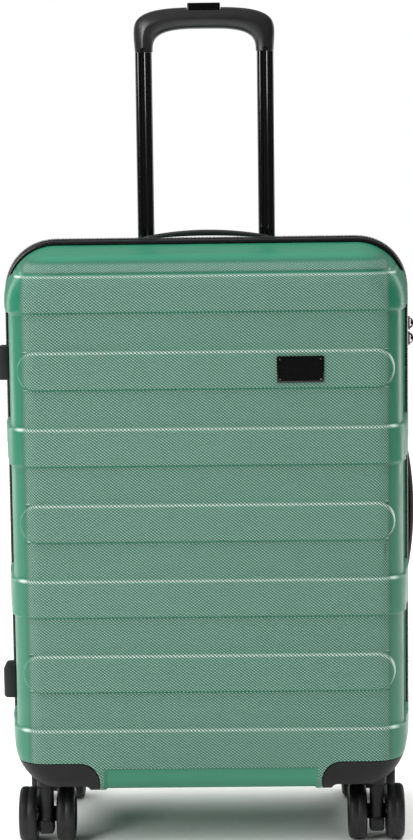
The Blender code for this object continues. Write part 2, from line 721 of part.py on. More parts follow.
def makeLock():
    """Combination lock set into the rear shell beside the zip. Gives the cutters of its opening."""
    near, far = LOCK_Y
    low = LOCK_Z - LOCK_HALF_HEIGHT
    high = LOCK_Z + LOCK_HALF_HEIGHT
    housing = box("lock_housing", (0.2176, near, low), (LOCK_FACE_X, far, high), 0.0012)
    asPart(housing, "black plastic")
    body = (0.2065, near + 0.004, low + 0.004), (0.2190, far - 0.004, high - 0.004)
    join(housing, asCutter(box("lock_body", *body)))
    grown = [tuple(v + s * GAP for v in corner) for corner, s in zip(body, (-1, 1))]
    opening = box("lock_opening", grown[0], (0.235, grown[1][1], grown[1][2]))
    seat = box("lock_seat", (0.2173, near - GAP, low - GAP), (0.235, far + GAP, high + GAP))
    axisX = LOCK_FACE_X + 0.0006 - DIAL_RADIUS
    axisY = 0.037
    for number in range(3):
        z = LOCK_Z + 0.008 + DIAL_PITCH * (number - 1)
        start = (axisX, axisY, z - DIAL_WIDTH / 2)
        end = (axisX, axisY, z + DIAL_WIDTH / 2)
        dial = asPart(rod("lock_dial_%d" % (number + 1), DIAL_RADIUS, start, end, 20), "black plastic")
        moveOrigin(smooth(dial), (axisX, axisY, z))
        room = rod("dial_room", DIAL_RADIUS + 0.0005, (axisX, axisY, z - DIAL_WIDTH / 2 - GAP),
                   (axisX, axisY, z + DIAL_WIDTH / 2 + GAP), 20)
        cut(housing, asCutter(room))
    recess = box("button_recess", (0.2235, 0.032, low + 0.006), (0.23, 0.042, low + 0.020))
    cut(housing, asCutter(recess))
    button = box("lock_button", (0.2238, 0.0323, low + 0.0103), (0.2265, 0.0417, low + 0.0197), 0.0006, 1)
    moveOrigin(asPart(button, "bright steel"), (0.225, axisY, low + 0.015))
    return asCutter(opening), asCutter(seat)


def makeSlider(word, z, up):
    """Zip slider with the arched bridge that its pull turns on."""
    x = SLIDER_X
    slider = box("zip_slider_" + word, (x, -0.0042, z - 0.0075), (x + 0.0014, 0.0042, z + 0.0075), 0.0006, 1)
    asPart(slider, "black plastic")
    outline = []
    for step in range(9):
        angle = math.pi * step / 8
        outline.append((x + 0.0010 + 0.0046 * math.sin(angle), z + 0.0062 * math.cos(angle)))
    for step in range(9):
        angle = math.pi * (1 - step / 8)
        outline.append((x + 0.0010 + 0.0033 * math.sin(angle), z + up * 0.0006 + 0.0044 * math.cos(angle)))
    bridge = outlinePrism("slider_bridge_" + word, outline, -0.0012, 0.0012, "Y")
    join(slider, asCutter(bridge))
    moveOrigin(slider, (x, 0, z))


def makePull(word, z):
    """Flat pull with an eye that turns on the slider's bridge."""
    eye = rod("zip_pull_" + word, PULL_EYE[1], (PULL_X, 0, z - 0.0016), (PULL_X, 0, z + 0.0016), 20)
    asPart(eye, "black plastic")
    low = (PULL_X - 0.0008, PULL_EYE[0] + 0.0004, z - 0.0028)
    high = (PULL_X + 0.0008, PULL_END_Y, z + 0.0028)
    join(eye, asCutter(box("pull_tab_" + word, low, high, 0.0005, 1)))
    bore = rod("pull_bore_" + word, PULL_EYE[0], (PULL_X, 0, z - 0.004), (PULL_X, 0, z + 0.004), 16)
    moveOrigin(cut(eye, asCutter(bore)), (PULL_X, 0, z))


def build():
    frontShell = makeShell("front_shell", -1)
    rearShell = makeShell("rear_shell", 1)
    front = [frontShell]
    near = RIM_Y
    far = RIM_Y + PIPING_WIDTH
    front.append(makeRing("front_piping", -1, near, far, GAP, PIPING_HEIGHT, "black rubber"))
    makeRing("rear_piping", 1, near, far, GAP, PIPING_HEIGHT, "black rubber")
    far = RIM_Y - GAP
    front.append(makeRing("front_zip_tape", -1, GAP / 2, far, -TAPE_DEPTH, TAPE_HEIGHT, "woven tape"))
    makeRing("rear_zip_tape", 1, GAP / 2, far, -TAPE_DEPTH, TAPE_HEIGHT, "woven tape")
    asPart(box("hinge_tape", (-0.2188, 0.0005, 0.13), (-0.2174, 0.0120, 0.60)), "woven tape")
    front.append(makeLining("front_lining", -1, FRONT_LINING_Y))
    makeLining("rear_lining", 1, REAR_LINING_Y)
    divider = roundedPanel("divider_panel", 0.197, 0.099, 0.6385, 0.043, -0.0105, -0.009)
    front.append(asPart(divider, "grey lining"))
    makeStraps()
    width, height, thick = BADGE_SIZE
    low = (BADGE_CENTRE[0] - width / 2, -FACE_Y - GAP - thick, BADGE_CENTRE[1] - height / 2)
    high = (BADGE_CENTRE[0] + width / 2, -FACE_Y - GAP, BADGE_CENTRE[1] + height / 2)
    front.append(asPart(box("badge", low, high, 0.0006, 1), "black plastic"))
    for word, z in zip(("upper", "lower"), FOOT_HEIGHTS):
        front.append(makeFoot("side_foot_front_" + word, -1, z))
        makeFoot("side_foot_rear_" + word, 1, z)
    for hand, mark in ((-1, "left"), (1, "right")):
        front.append(makeHousing("caster_housing_front_" + mark, -1, hand))
        makeHousing("caster_housing_rear_" + mark, 1, hand)
        cut(frontShell, cornerBlock("front_corner_" + mark, -1, hand, 0.0))
        cut(rearShell, cornerBlock("rear_corner_" + mark, 1, hand, 0.0))

    # Trolley
    makeBezel()
    block = box("bezel_opening", (-BEZEL_HALF_WIDTH - GAP, BEZEL_Y - GAP, BEZEL_BOTTOM - GAP),
                (BEZEL_HALF_WIDTH + GAP, 0.17, 0.72))
    cut(rearShell, asCutter(block))
    low = (-0.092, TROLLEY_Y - 0.0115, 0.0865)
    high = (0.092, TROLLEY_Y + 0.0115, 0.1017)
    asPart(box("trolley_base", low, high, 0.002, 1), "black plastic")
    middle = []
    top = []
    for hand, mark in ((-1, "left"), (1, "right")):
        x = hand * TUBE_X
        makeTube("outer_tube_" + mark, x, OUTER_TUBE, OUTER_TUBE_SPAN, "bright steel")
        finish = "black anodised tube"
        middle.append(makeTube("middle_tube_" + mark, x, MIDDLE_TUBE, MIDDLE_TUBE_SPAN, finish))
        top.append(makeTube("inner_tube_" + mark, x, INNER_TUBE, INNER_TUBE_SPAN, finish))
    top.append(makeGrip())
    button = box("trolley_button", (-BUTTON_HALF_WIDTH, TROLLEY_Y - 0.0065, YOKE_BAR[1] + GAP),
                 (BUTTON_HALF_WIDTH, TROLLEY_Y + 0.0065, BUTTON_TOP), 0.0012)
    asPart(button, "black plastic")
    middlePivot = pivot("trolley_middle_pivot", (0, TROLLEY_Y, 0.61), middle)
    topPivot = pivot("trolley_top_pivot", (0, TROLLEY_Y, 0.87), top, middlePivot)
    pivot("trolley_button_pivot", (0, TROLLEY_Y, YOKE_BAR[1]), [button, makeYoke()], topPivot)

    # Carry handles
    holes = []
    place = Matrix.Translation((0, TOP_HANDLE_Y, 0.6622))
    grip = makeHandle("top_handle", place, holes)
    pivot("top_handle_pivot", (0, TOP_HANDLE_Y, 0.6622), [grip])
    sidePlace = (SIDE_HANDLE_X, SIDE_HANDLE_Y, SIDE_HANDLE_Z)
    place = Matrix.Translation(sidePlace) @ Matrix.Rotation(math.pi / 2, 4, "Y")
    grip = makeHandle("side_handle", place, holes)
    pivot("side_handle_pivot", sidePlace, [grip])
    cut(rearShell, *holes)

    # Lock and zip
    cut(rearShell, *makeLock())
    for word, z, up in zip(("upper", "lower"), SLIDER_HEIGHTS, (1, -1)):
        makeSlider(word, z, up)
        makePull(word, z)

    # Front half on its hinge, then the casters
    frontPivot = pivot("front_half_pivot", (HINGE_X, 0, 0.36), front)
    for side, parent, word in ((-1, frontPivot, "front"), (1, None, "rear")):
        for hand, mark in ((-1, "left"), (1, "right")):
            makeCaster(word + "_" + mark, side, hand, parent)


build()
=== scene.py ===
# Hard shell suitcase: the fine surfaces and finishes of every piece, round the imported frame.
# Metres, +Z up, origin on the floor under the case, front shell towards -Y.
import json
import math

import bmesh
import bpy
from mathutils import Matrix, Vector


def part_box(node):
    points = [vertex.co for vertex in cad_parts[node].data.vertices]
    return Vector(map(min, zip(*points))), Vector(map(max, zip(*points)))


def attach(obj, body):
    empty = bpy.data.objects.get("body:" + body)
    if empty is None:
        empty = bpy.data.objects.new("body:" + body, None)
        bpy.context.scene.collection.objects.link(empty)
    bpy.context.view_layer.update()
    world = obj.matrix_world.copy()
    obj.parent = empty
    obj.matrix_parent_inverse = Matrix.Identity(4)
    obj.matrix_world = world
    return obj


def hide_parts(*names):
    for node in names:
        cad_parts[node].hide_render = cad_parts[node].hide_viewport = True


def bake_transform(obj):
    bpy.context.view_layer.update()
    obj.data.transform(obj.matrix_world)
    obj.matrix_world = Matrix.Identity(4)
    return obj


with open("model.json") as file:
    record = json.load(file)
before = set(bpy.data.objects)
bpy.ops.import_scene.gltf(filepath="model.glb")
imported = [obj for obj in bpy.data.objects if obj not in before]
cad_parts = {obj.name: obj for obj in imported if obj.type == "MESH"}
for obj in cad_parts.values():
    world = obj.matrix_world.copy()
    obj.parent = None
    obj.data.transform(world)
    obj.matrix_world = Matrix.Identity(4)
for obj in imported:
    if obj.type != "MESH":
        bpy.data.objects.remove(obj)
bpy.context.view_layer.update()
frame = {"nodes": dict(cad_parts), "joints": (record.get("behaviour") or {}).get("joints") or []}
print("frame loaded with", len(frame["nodes"]), "nodes")

mm = 0.001


# Colours and nodes

def colour(hexCode):
    channels = [int(hexCode[i:i + 2], 16) / 255 for i in (1, 3, 5)]
    linear = [c / 12.92 if c <= 0.04045 else ((c + 0.055) / 1.055) ** 2.4 for c in channels]
    return (*linear, 1.0)


def addNode(tree, kind, settings=None, links=None):
    new = tree.nodes.new("ShaderNode" + kind)
    for key, value in (settings or {}).items():
        if isinstance(key, int) or key in new.inputs:
            new.inputs[key].default_value = value
        else:
            setattr(new, key, value)
    for key, source in (links or {}).items():
        tree.links.new(source, new.inputs[key])
    return new


def newFinish(name, look):
    # a Principled shader with the look's own values, and the tree to add its pattern to
    material = bpy.data.materials.new(name)
    material.use_nodes = True
    tree = material.node_tree
    tree.nodes.clear()
    shader = addNode(tree, "BsdfPrincipled", {"Base Color": colour(look["colour"])})
    for key in ("Roughness", "Metallic", "IOR", "Coat Weight", "Coat Roughness", "Sheen Weight",
                "Sheen Roughness"):
        if key in look:
            shader.inputs[key].default_value = look[key]
    addNode(tree, "OutputMaterial", links={"Surface": shader.outputs["BSDF"]})
    return material, tree, shader


def wave(tree, source, direction, pitch):
    # even ridges across a direction, from 0 to 1
    turns = Vector(direction).normalized() * (2 * math.pi / pitch)
    phase = addNode(tree, "VectorMath", {"operation": "DOT_PRODUCT", 1: turns}, {0: source})
    swing = addNode(tree, "Math", {"operation": "SINE"}, {0: phase.outputs["Value"]})
    half = addNode(tree, "Math", {"operation": "MULTIPLY_ADD", 1: 0.5, 2: 0.5}, {0: swing.outputs[0]})
    return half.outputs[0]


def combine(tree, operation, first, second):
    return addNode(tree, "Math", {"operation": operation}, {0: first, 1: second}).outputs[0]


def fade(tree, value, start, end):
    # 1 at start, 0 at end, smooth between them
    ramp = addNode(tree, "MapRange", {"interpolation_type": "SMOOTHSTEP", 1: start, 2: end, 3: 1.0, 4: 0.0},
                   {0: value})
    return ramp.outputs[0]


def grain(tree, source, size, detail=2.0):
    # soft noise with features of one size in metres
    return addNode(tree, "TexNoise", {"Scale": 1 / size, "Detail": detail}, {"Vector": source}).outputs["Fac"]


def relief(tree, shader, height, depth, strength=1.0, under=None):
    bump = addNode(tree, "Bump", {"Distance": depth, "Strength": strength, "Filter Width": 0.2},
                   {"Height": height})
    if under:
        tree.links.new(under, bump.inputs["Normal"])
    tree.links.new(bump.outputs[0], shader.inputs["Normal"])
    return bump.outputs[0]


def tint(tree, shader, amount, dark, light):
    # colour between two hex values by a pattern
    mix = addNode(tree, "Mix", {"data_type": "RGBA", 6: colour(dark), 7: colour(light)}, {0: amount})
    tree.links.new(mix.outputs[2], shader.inputs["Base Color"])


def uneven(tree, shader, amount, low, high):
    # roughness between two values by a pattern
    spread = addNode(tree, "MapRange", {1: 0.3, 2: 0.7, 3: low, 4: high}, {0: amount})
    tree.links.new(spread.outputs[0], shader.inputs["Roughness"])


# Finishes

# valleyShade is painted shade in the emboss valleys, ridgeHighlight a painted grey highlight on its ridges, spark a
# painted highlight colour for the upper band edges
embossed = {
    "colour": "#1e6f55", "valleyShade": "#1d5140", "ridgeHighlight": "#88b0a1", "spark": "#e6f2ec", "Roughness": 0.34,
    "IOR": 1.53, "pitch": 2.5 * mm, "lean": 38, "depth": 0.42 * mm,     # real pitch 2.2 mm, drawn a little coarser to show
    "smoothFromX": 0.1925, "smoothFromZ": 0.647, "panelTop": 0.0985, "panelSide": 0.116,
}


def embossedAbs():
    # vacuum formed ABS: a fine diamond emboss breaks the gloss into sparks; its grey look is painted, with painted
    # shade in the emboss valleys, painted grey highlight on its ridges, a painted highlight on the upper band edges and
    # a painted shade line under the raised edges; smooth rims stay deep green
    material, tree, shader = newFinish("vacuum formed ABS", embossed)
    flow = addNode(tree, "UVMap", {"uv_map": "flow"}).outputs[0]
    lean = math.radians(embossed["lean"])
    rising = wave(tree, flow, (-math.sin(lean), math.cos(lean), 0), embossed["pitch"])
    falling = wave(tree, flow, (math.sin(lean), math.cos(lean), 0), embossed["pitch"])
    weighted = addNode(tree, "Math", {"operation": "MULTIPLY_ADD", 1: 0.6},
                       {0: rising, 2: falling}).outputs[0]
    where = addNode(tree, "SeparateXYZ", links={0: addNode(tree, "TexCoord").outputs["Object"]}).outputs
    across = addNode(tree, "Math", {"operation": "ABSOLUTE"}, {0: where[0]}).outputs[0]
    textured = fade(tree, across, embossed["smoothFromX"], embossed["smoothFromX"] + 0.009)
    textured = combine(tree, "MULTIPLY", textured,
                       fade(tree, where[2], embossed["smoothFromZ"], embossed["smoothFromZ"] + 0.008))
    low = fade(tree, where[2], embossed["panelTop"] - 0.001, embossed["panelTop"])
    middle = fade(tree, across, embossed["panelSide"], embossed["panelSide"] + 0.001)
    panel = combine(tree, "MULTIPLY", low, middle)
    textured = combine(tree, "SUBTRACT", textured, panel)
    # the line mask paints a plain deep green shade line, without emboss, under the raised edges and in the crease
    line = addNode(tree, "Attribute", {"attribute_name": "line"}).outputs["Fac"]
    textured = combine(tree, "SUBTRACT", textured, line)
    textured = addNode(tree, "Clamp", links={0: textured}).outputs[0]
    height = combine(tree, "MULTIPLY", weighted, textured)
    peel = grain(tree, addNode(tree, "TexCoord").outputs["Object"], 9 * mm)
    under = relief(tree, shader, peel, 0.10 * mm, 0.5)
    relief(tree, shader, height, embossed["depth"], 1.0, under)
    # painted shade in the emboss valleys and painted grey highlight on its ridges, mixed by the emboss height
    shade = addNode(tree, "MapRange", {1: 0.55, 2: 1.6, 3: 0.0, 4: 1.0}, {0: height}).outputs[0]
    paintedReliefShading = addNode(tree, "Mix",
                       {"data_type": "RGBA", 6: colour(embossed["valleyShade"]), 7: colour(embossed["ridgeHighlight"])},
                       {0: shade})
    lit = addNode(tree, "Attribute", {"attribute_name": "lit"}).outputs["Fac"]
    skin = addNode(tree, "Mix", {"data_type": "RGBA", 6: colour(embossed["colour"])},
                   {0: textured, 7: paintedReliefShading.outputs[2]})
    # painted highlight in the spark colour where the lit mask is set, on the emboss ridges and stronger on smooth parts
    smooth = addNode(tree, "Math", {"operation": "MULTIPLY_ADD", 1: -0.7, 2: 0.7}, {0: textured}).outputs[0]
    spark = combine(tree, "MULTIPLY", lit, combine(tree, "MAXIMUM", shade, smooth))
    skin = addNode(tree, "Mix", {"data_type": "RGBA", 7: colour(embossed["spark"])},
                   {0: spark, 6: skin.outputs[2]})
    tree.links.new(skin.outputs[2], shader.inputs["Base Color"])
    uneven(tree, shader, grain(tree, addNode(tree, "TexCoord").outputs["Object"], 30 * mm), 0.31, 0.40)
    return material


sparked = {"colour": "#070708", "light": "#0b0b0c", "Roughness": 0.46, "IOR": 1.36, "grit": 0.8 * mm}


def sparkErodedAbs(name="spark eroded ABS", look=sparked):
    # moulded black ABS: the eroded mould leaves a fine even grit with a soft satin shine
    material, tree, shader = newFinish(name, look)
    spot = addNode(tree, "TexCoord").outputs["Object"]
    grit = grain(tree, spot, look["grit"], 3.0)
    relief(tree, shader, grit, 0.10 * mm, 0.55)
    tint(tree, shader, grain(tree, spot, 40 * mm), look["colour"], look["light"])
    uneven(tree, shader, grain(tree, spot, 12 * mm), look["Roughness"] - 0.05, look["Roughness"] + 0.07)
    return material


satinGrip = {"colour": "#161616", "light": "#1e1e1e", "Roughness": 0.33, "IOR": 1.5, "grit": 1.1 * mm}
wheelPolyurethane = {"colour": "#0c0c0d", "light": "#131314", "Roughness": 0.5, "IOR": 1.42, "grit": 1.4 * mm}
tube = {"colour": "#060607", "Roughness": 0.10, "IOR": 1.6}


def anodisedTube():
    # drawn aluminium, dyed black and sealed: near mirror gloss with faint drawing lines along its length
    material, tree, shader = newFinish("black anodised aluminium", tube)
    stretch = addNode(tree, "Mapping", {"Scale": (1.0, 1.0, 0.01)},
                      {"Vector": addNode(tree, "TexCoord").outputs["Object"]}).outputs[0]
    lines = grain(tree, stretch, 3.0 * mm, 1.0)
    uneven(tree, shader, lines, 0.09, 0.115)
    return material


steel = {"colour": "#b9babd", "Roughness": 0.26, "Metallic": 1.0}


def brightSteel():
    # zinc plated steel: light grey metal, faintly clouded
    material, tree, shader = newFinish("zinc plated steel", steel)
    cloud = grain(tree, addNode(tree, "TexCoord").outputs["Object"], 6 * mm)
    uneven(tree, shader, cloud, 0.20, 0.34)
    tint(tree, shader, cloud, "#a9aaae", "#c6c7c9")
    return material


piping = {"colour": "#0c0c0d", "Roughness": 0.24, "IOR": 1.52}


def pipingVinyl():
    # extruded PVC cord: smooth and rather shiny, with slight waves from sewing
    material, tree, shader = newFinish("extruded PVC", piping)
    waves = grain(tree, addNode(tree, "TexCoord").outputs["Object"], 7 * mm)
    relief(tree, shader, waves, 0.12 * mm, 0.5)
    uneven(tree, shader, waves, 0.2, 0.3)
    return material


def woven(name, dark, light, pitch, depth, roughness, sheen, lean=0):
    # plain woven cloth: thread by thread relief, drawn coarser than life, soft sheen, no gloss
    look = {"colour": dark, "Roughness": roughness, "Sheen Weight": sheen, "Sheen Roughness": 0.5, "IOR": 1.5}
    material, tree, shader = newFinish(name, look)
    spot = addNode(tree, "TexCoord").outputs["Object"]
    turn = math.radians(lean)
    warp = wave(tree, spot, (math.cos(turn), 0.15, math.sin(turn)), pitch)
    weft = wave(tree, spot, (-math.sin(turn), 0.15, math.cos(turn)), pitch)
    threads = combine(tree, "MULTIPLY", warp, weft)
    fuzz = grain(tree, spot, pitch * 0.8, 3.0)
    height = combine(tree, "ADD", threads, fuzz)
    relief(tree, shader, height, depth, 0.8)
    mixed = combine(tree, "MULTIPLY", height, grain(tree, spot, 25 * mm))
    tint(tree, shader, mixed, dark, light)
    return material


plate = {"colour": "#040405", "Roughness": 0.12, "IOR": 1.45, "Coat Weight": 0.1, "Coat Roughness": 0.05}


def lacqueredPlate():
    # black lacquered zinc casting: deep gloss with a little orange peel
    material, tree, shader = newFinish("lacquered zinc casting", plate)
    peel = grain(tree, addNode(tree, "TexCoord").outputs["Object"], 2.5 * mm)
    relief(tree, shader, peel, 0.02 * mm, 0.1)
    uneven(tree, shader, peel, 0.10, 0.15)
    return material


def paintedFigures():
    # white pad printed figures: flat, slightly soft edged ink
    material, tree, shader = newFinish("pad printed ink", {"colour": "#d9d9d6", "Roughness": 0.5})
    tint(tree, shader, grain(tree, addNode(tree, "TexCoord").outputs["Object"], 1.0 * mm), "#c9c9c6",
         "#e6e6e3")
    return material


finishes = {
    "shell": embossedAbs(),
    "plastic": sparkErodedAbs(),
    "grip": sparkErodedAbs("satin moulded nylon", satinGrip),
    "wheel": sparkErodedAbs("cast polyurethane", wheelPolyurethane),
    "tube": anodisedTube(),
    "steel": brightSteel(),
    "piping": pipingVinyl(),
    "tape": woven("woven nylon tape", "#131315", "#2b2b2e", 1.3 * mm, 0.25 * mm, 0.75, 0.2),
    "webbing": woven("woven polyester webbing", "#17171a", "#38383c", 1.8 * mm, 0.35 * mm, 0.7, 0.25,
                     lean=35),
    "lining": woven("polyester taffeta", "#2f3135", "#56595f", 2.2 * mm, 0.18 * mm, 0.62, 0.3),
    "teeth": sparkErodedAbs("nylon coil",
                            {"colour": "#232325", "light": "#3a3a3d", "Roughness": 0.32, "IOR": 1.53,
                             "grit": 0.9 * mm}),
    "plate": lacqueredPlate(),
    "ink": paintedFigures(),
}
print("finishes made")


# Shape helpers

def toObject(bm, name):
    mesh = bpy.data.meshes.new(name)
    bm.to_mesh(mesh)
    bm.free()
    obj = bpy.data.objects.new(name, mesh)
    bpy.context.scene.collection.objects.link(obj)
    return obj


def settle(obj):
    # turns the object's modifiers into plain mesh
    bpy.context.view_layer.update()
    graph = bpy.context.evaluated_depsgraph_get()
    mesh = bpy.data.meshes.new_from_object(obj.evaluated_get(graph))
    old = obj.data
    obj.modifiers.clear()
    obj.data = mesh
    bpy.data.meshes.remove(old)
    return obj


def carve(obj, tools, operation="DIFFERENCE"):
    for tool in tools:
        modifier = obj.modifiers.new("carve", "BOOLEAN")
        modifier.operation = operation
        modifier.solver = "EXACT"
        modifier.object = tool
    settle(obj)
    for tool in tools:
        bpy.data.objects.remove(tool, do_unlink=True)
    return obj


def blockMesh(low, high):
    bm = bmesh.new()
    bmesh.ops.create_cube(bm, size=1.0)
    for vert in bm.verts:
        vert.co = Vector([low[i] if vert.co[i] < 0 else high[i] for i in range(3)])
    return bm


def bevel(bm, edges, width, segments):
    bmesh.ops.bevel(bm, geom=edges, offset=width, segments=segments, profile=0.5, affect="EDGES",
                    clamp_overlap=False)


def block(name, low, high, rounding=0.0, segments=4):
    bm = blockMesh(low, high)
    if rounding:
        bevel(bm, bm.edges[:], rounding, segments)
    return toObject(bm, name)


def rod(name, radius, start, end, segments=40):
    start, end = Vector(start), Vector(end)
    along = end - start
    bm = bmesh.new()
    bmesh.ops.create_cone(bm, cap_ends=True, segments=segments, radius1=radius, radius2=radius,
                          depth=along.length)
    turn = along.to_track_quat("Z", "Y").to_matrix().to_4x4()
    bmesh.ops.transform(bm, matrix=Matrix.Translation((start + end) / 2) @ turn, verts=bm.verts)
    return toObject(bm, name)


def loft(name, rings, closed=False, caps=True):
    # joins rings of points that have the same count, as one surface
    bm = bmesh.new()
    rows = [[bm.verts.new(point) for point in ring] for ring in rings]
    pairs = list(zip(rows, rows[1:] + rows[:1])) if closed else list(zip(rows, rows[1:]))
    for first, second in pairs:
        for i in range(len(first)):
            j = (i + 1) % len(first)
            bm.faces.new((first[i], first[j], second[j], second[i]))
    if caps and not closed:
        bm.faces.new(rows[0][::-1])
        bm.faces.new(rows[-1])
    bmesh.ops.recalc_face_normals(bm, faces=bm.faces)
    return toObject(bm, name)


def turned(name, profile, centre, steps=64):
    # a closed half section (radius, distance across) turned about an axis along X
    rings = []
    for step in range(steps):
        angle = 2 * math.pi * step / steps
        ring = [(across, radius * math.cos(angle), radius * math.sin(angle)) for radius, across in profile]
        rings.append([Vector(point) + Vector(centre) for point in ring])
    return loft(name, rings, closed=True)


def gather(name, objects):
    # several objects as one, keeping their finishes
    bpy.context.view_layer.update()
    bm = bmesh.new()
    mesh = bpy.data.meshes.new(name)
    for obj in objects:
        for material in obj.data.materials:
            if material.name not in mesh.materials:
                mesh.materials.append(material)
    for obj in objects:
        first = len(bm.faces)
        bm.from_mesh(obj.data)
        bm.faces.ensure_lookup_table()
        slots = [mesh.materials.find(material.name) for material in obj.data.materials]
        fresh = bm.faces[first:]
        for face in fresh:
            if slots:
                face.material_index = slots[min(face.material_index, len(slots) - 1)]
        verts = {vert for face in fresh for vert in face.verts}
        bmesh.ops.transform(bm, matrix=obj.matrix_world, verts=list(verts))
    bm.to_mesh(mesh)
    bm.free()
    for obj in objects:
        bpy.data.objects.remove(obj, do_unlink=True)
    joined = bpy.data.objects.new(name, mesh)
    bpy.context.scene.collection.objects.link(joined)
    return joined


def paint(obj, finish):
    obj.data.materials.clear()
    obj.data.materials.append(finishes[finish])
    return obj


def fit(obj, finish, slot, body, *replaced, sharp=32):
    # gives a piece its finish, its body and the frame nodes that it stands for
    if finish:
        paint(obj, finish)
    obj.data.shade_smooth()
    obj.data.set_sharp_from_angle(angle=math.radians(sharp))
    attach(obj, body)
    if replaced:
        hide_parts(*replaced)
    return obj


def middle(node):
    low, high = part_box(node)
    return (Vector(low) + Vector(high)) / 2


# Camera, lights and floor

camera = {"place": (0.0339, -2.7, 0.8156), "down": 7.41, "left": 0.75, "roll": 0.74, "lens": 103.64}


def makeCamera():
    data = bpy.data.cameras.new("camera")
    data.sensor_width = 36
    data.lens = camera["lens"]
    data.clip_start = 0.1
    obj = bpy.data.objects.new("camera", data)
    turn = Matrix.Rotation(math.radians(camera["left"]), 4,
                           "Z") @ Matrix.Rotation(-math.radians(camera["down"]), 4, "X")
    turn = turn @ Matrix.Rotation(math.radians(camera["roll"]), 4, "Y") @ Matrix.Rotation(math.pi / 2, 4, "X")
    obj.matrix_world = Matrix.Translation(camera["place"]) @ turn
    bpy.context.scene.collection.objects.link(obj)
    bpy.context.scene.camera = obj


# each lamp: place, size across and up, power in watts
lamps = {
    "keyLeft": ((-1.9, -2.3, 1.7), (0.9, 1.9), 62),
    "fillRight": ((2.3, -2.2, 1.2), (0.6, 1.8), 1),
    "overhead": ((-0.6, 0.9, 3.2), (7.0, 7.2), 370),
    "rimRight": ((1.9, 1.1, 0.8), (0.6, 1.8), 14),
    "rimLeft": ((-1.9, 1.2, 0.9), (0.7, 1.8), 12),
}
room = {"floor": "#f4f4f2", "front": 0.08, "back": 0.24, "right": 0.3, "above": 0.30, "seen": 1.0,
        "floorSize": 6.4}


def makeLights():
    for name, (spot, size, power) in lamps.items():
        data = bpy.data.lights.new(name, "AREA")
        data.shape = "RECTANGLE"
        data.size, data.size_y = size
        data.energy = power
        obj = bpy.data.objects.new(name, data)
        aim = Vector((0, 0, 0.42)) - Vector(spot)
        if name == "overhead":
            aim = Vector((0, 0, -1))
            obj.visible_glossy = False
        if name.startswith("rim"):
            obj.visible_diffuse = False
        obj.rotation_mode = "QUATERNION"
        obj.rotation_quaternion = aim.to_track_quat("-Z", "Y")
        obj.location = spot
        bpy.context.scene.collection.objects.link(obj)
    world = bpy.data.worlds.new("studio")
    bpy.context.scene.world = world
    world.use_nodes = True
    tree = world.node_tree
    tree.nodes.clear()
    where = addNode(tree, "SeparateXYZ", links={0: addNode(tree, "TexCoord").outputs["Generated"]}).outputs
    # the studio is dim in front of the case and lighter behind and above it; its walls are seen as plain white
    behind = addNode(tree, "MapRange", {1: -0.25, 2: 0.35, 3: room["front"], 4: room["back"]},
                     {0: where[1]}).outputs[0]
    leftward = addNode(tree, "MapRange", {1: 0.1, 2: 0.8, 3: 1.0, 4: room["right"]}, {0: where[0]}).outputs[0]
    above = addNode(tree, "MapRange", {1: 0.35, 2: 0.85, 3: 0.0, 4: room["above"]}, {0: where[2]}).outputs[0]
    glow = combine(tree, "MULTIPLY", combine(tree, "ADD", behind, above), leftward)
    seen = addNode(tree, "LightPath").outputs["Is Camera Ray"]
    wall = addNode(tree, "Mix", {"data_type": "FLOAT", 3: room["seen"]}, {0: seen, 2: glow}).outputs[0]
    sky = addNode(tree, "Background", {"Color": (1, 1, 1, 1)}, {"Strength": wall})
    addNode(tree, "OutputWorld", links={"Surface": sky.outputs[0]})
    bpy.context.scene.view_settings.view_transform = "Standard"


def makeFloor():
    half = room["floorSize"] / 2
    bm = bmesh.new()
    corners = [bm.verts.new(point) for point in ((-half, -half, 0), (half, -half, 0), (half, half, 0),
                                                 (-half, half, 0))]
    bm.faces.new(corners)
    floor = toObject(bm, "studio_floor")
    material, tree, shader = newFinish("matt painted floor", {"colour": room["floor"], "Roughness": 0.9})
    tint(tree, shader, grain(tree, addNode(tree, "TexCoord").outputs["Object"], 0.4), room["floor"],
         "#f7f7f5")
    floor.data.materials.append(material)


makeCamera()
makeLights()
makeFloor()
print("camera, lights and floor made")


# Case: the outer form that both shells, the corner housings and the bezel share

case = {
    "halfWidth": 0.222, "top": 0.664, "bottom": 0.0640, "faceY": 0.1325, "rimY": 0.0055,
    "cornerRadius": 0.055, "edgeRadius": 0.034, "draft": 0.008, "wall": 0.0022,
    "cornerSteps": 20, "edgeSteps": 14, "bottomEdge": 0.014, "bottomBlend": 0.11,
}
bands = {
    "top": 0.6387, "pitch": 0.0414, "step": 0.0032, "ramp": 0.0026,
    "hollows": ((1, 4), (5, 8), (9, 12)), "pads": ((2, 3), (6, 7), (10, 11)),
    "padEnd": 0.2035, "flatRim": 0.0134, "rimRamp": 0.0034, "bulge": 0.0027, "bulgeDrop": 0.007,
    "bulgeFrom": 0.045, "bulgeTo": 0.085,
    "crease": 0.0013, "creaseWidth": 0.0030,
    "panelDepth": 0.0018, "panelSide": 0.1145, "panelTop": 0.0970, "panelRamp": 0.0030,
}


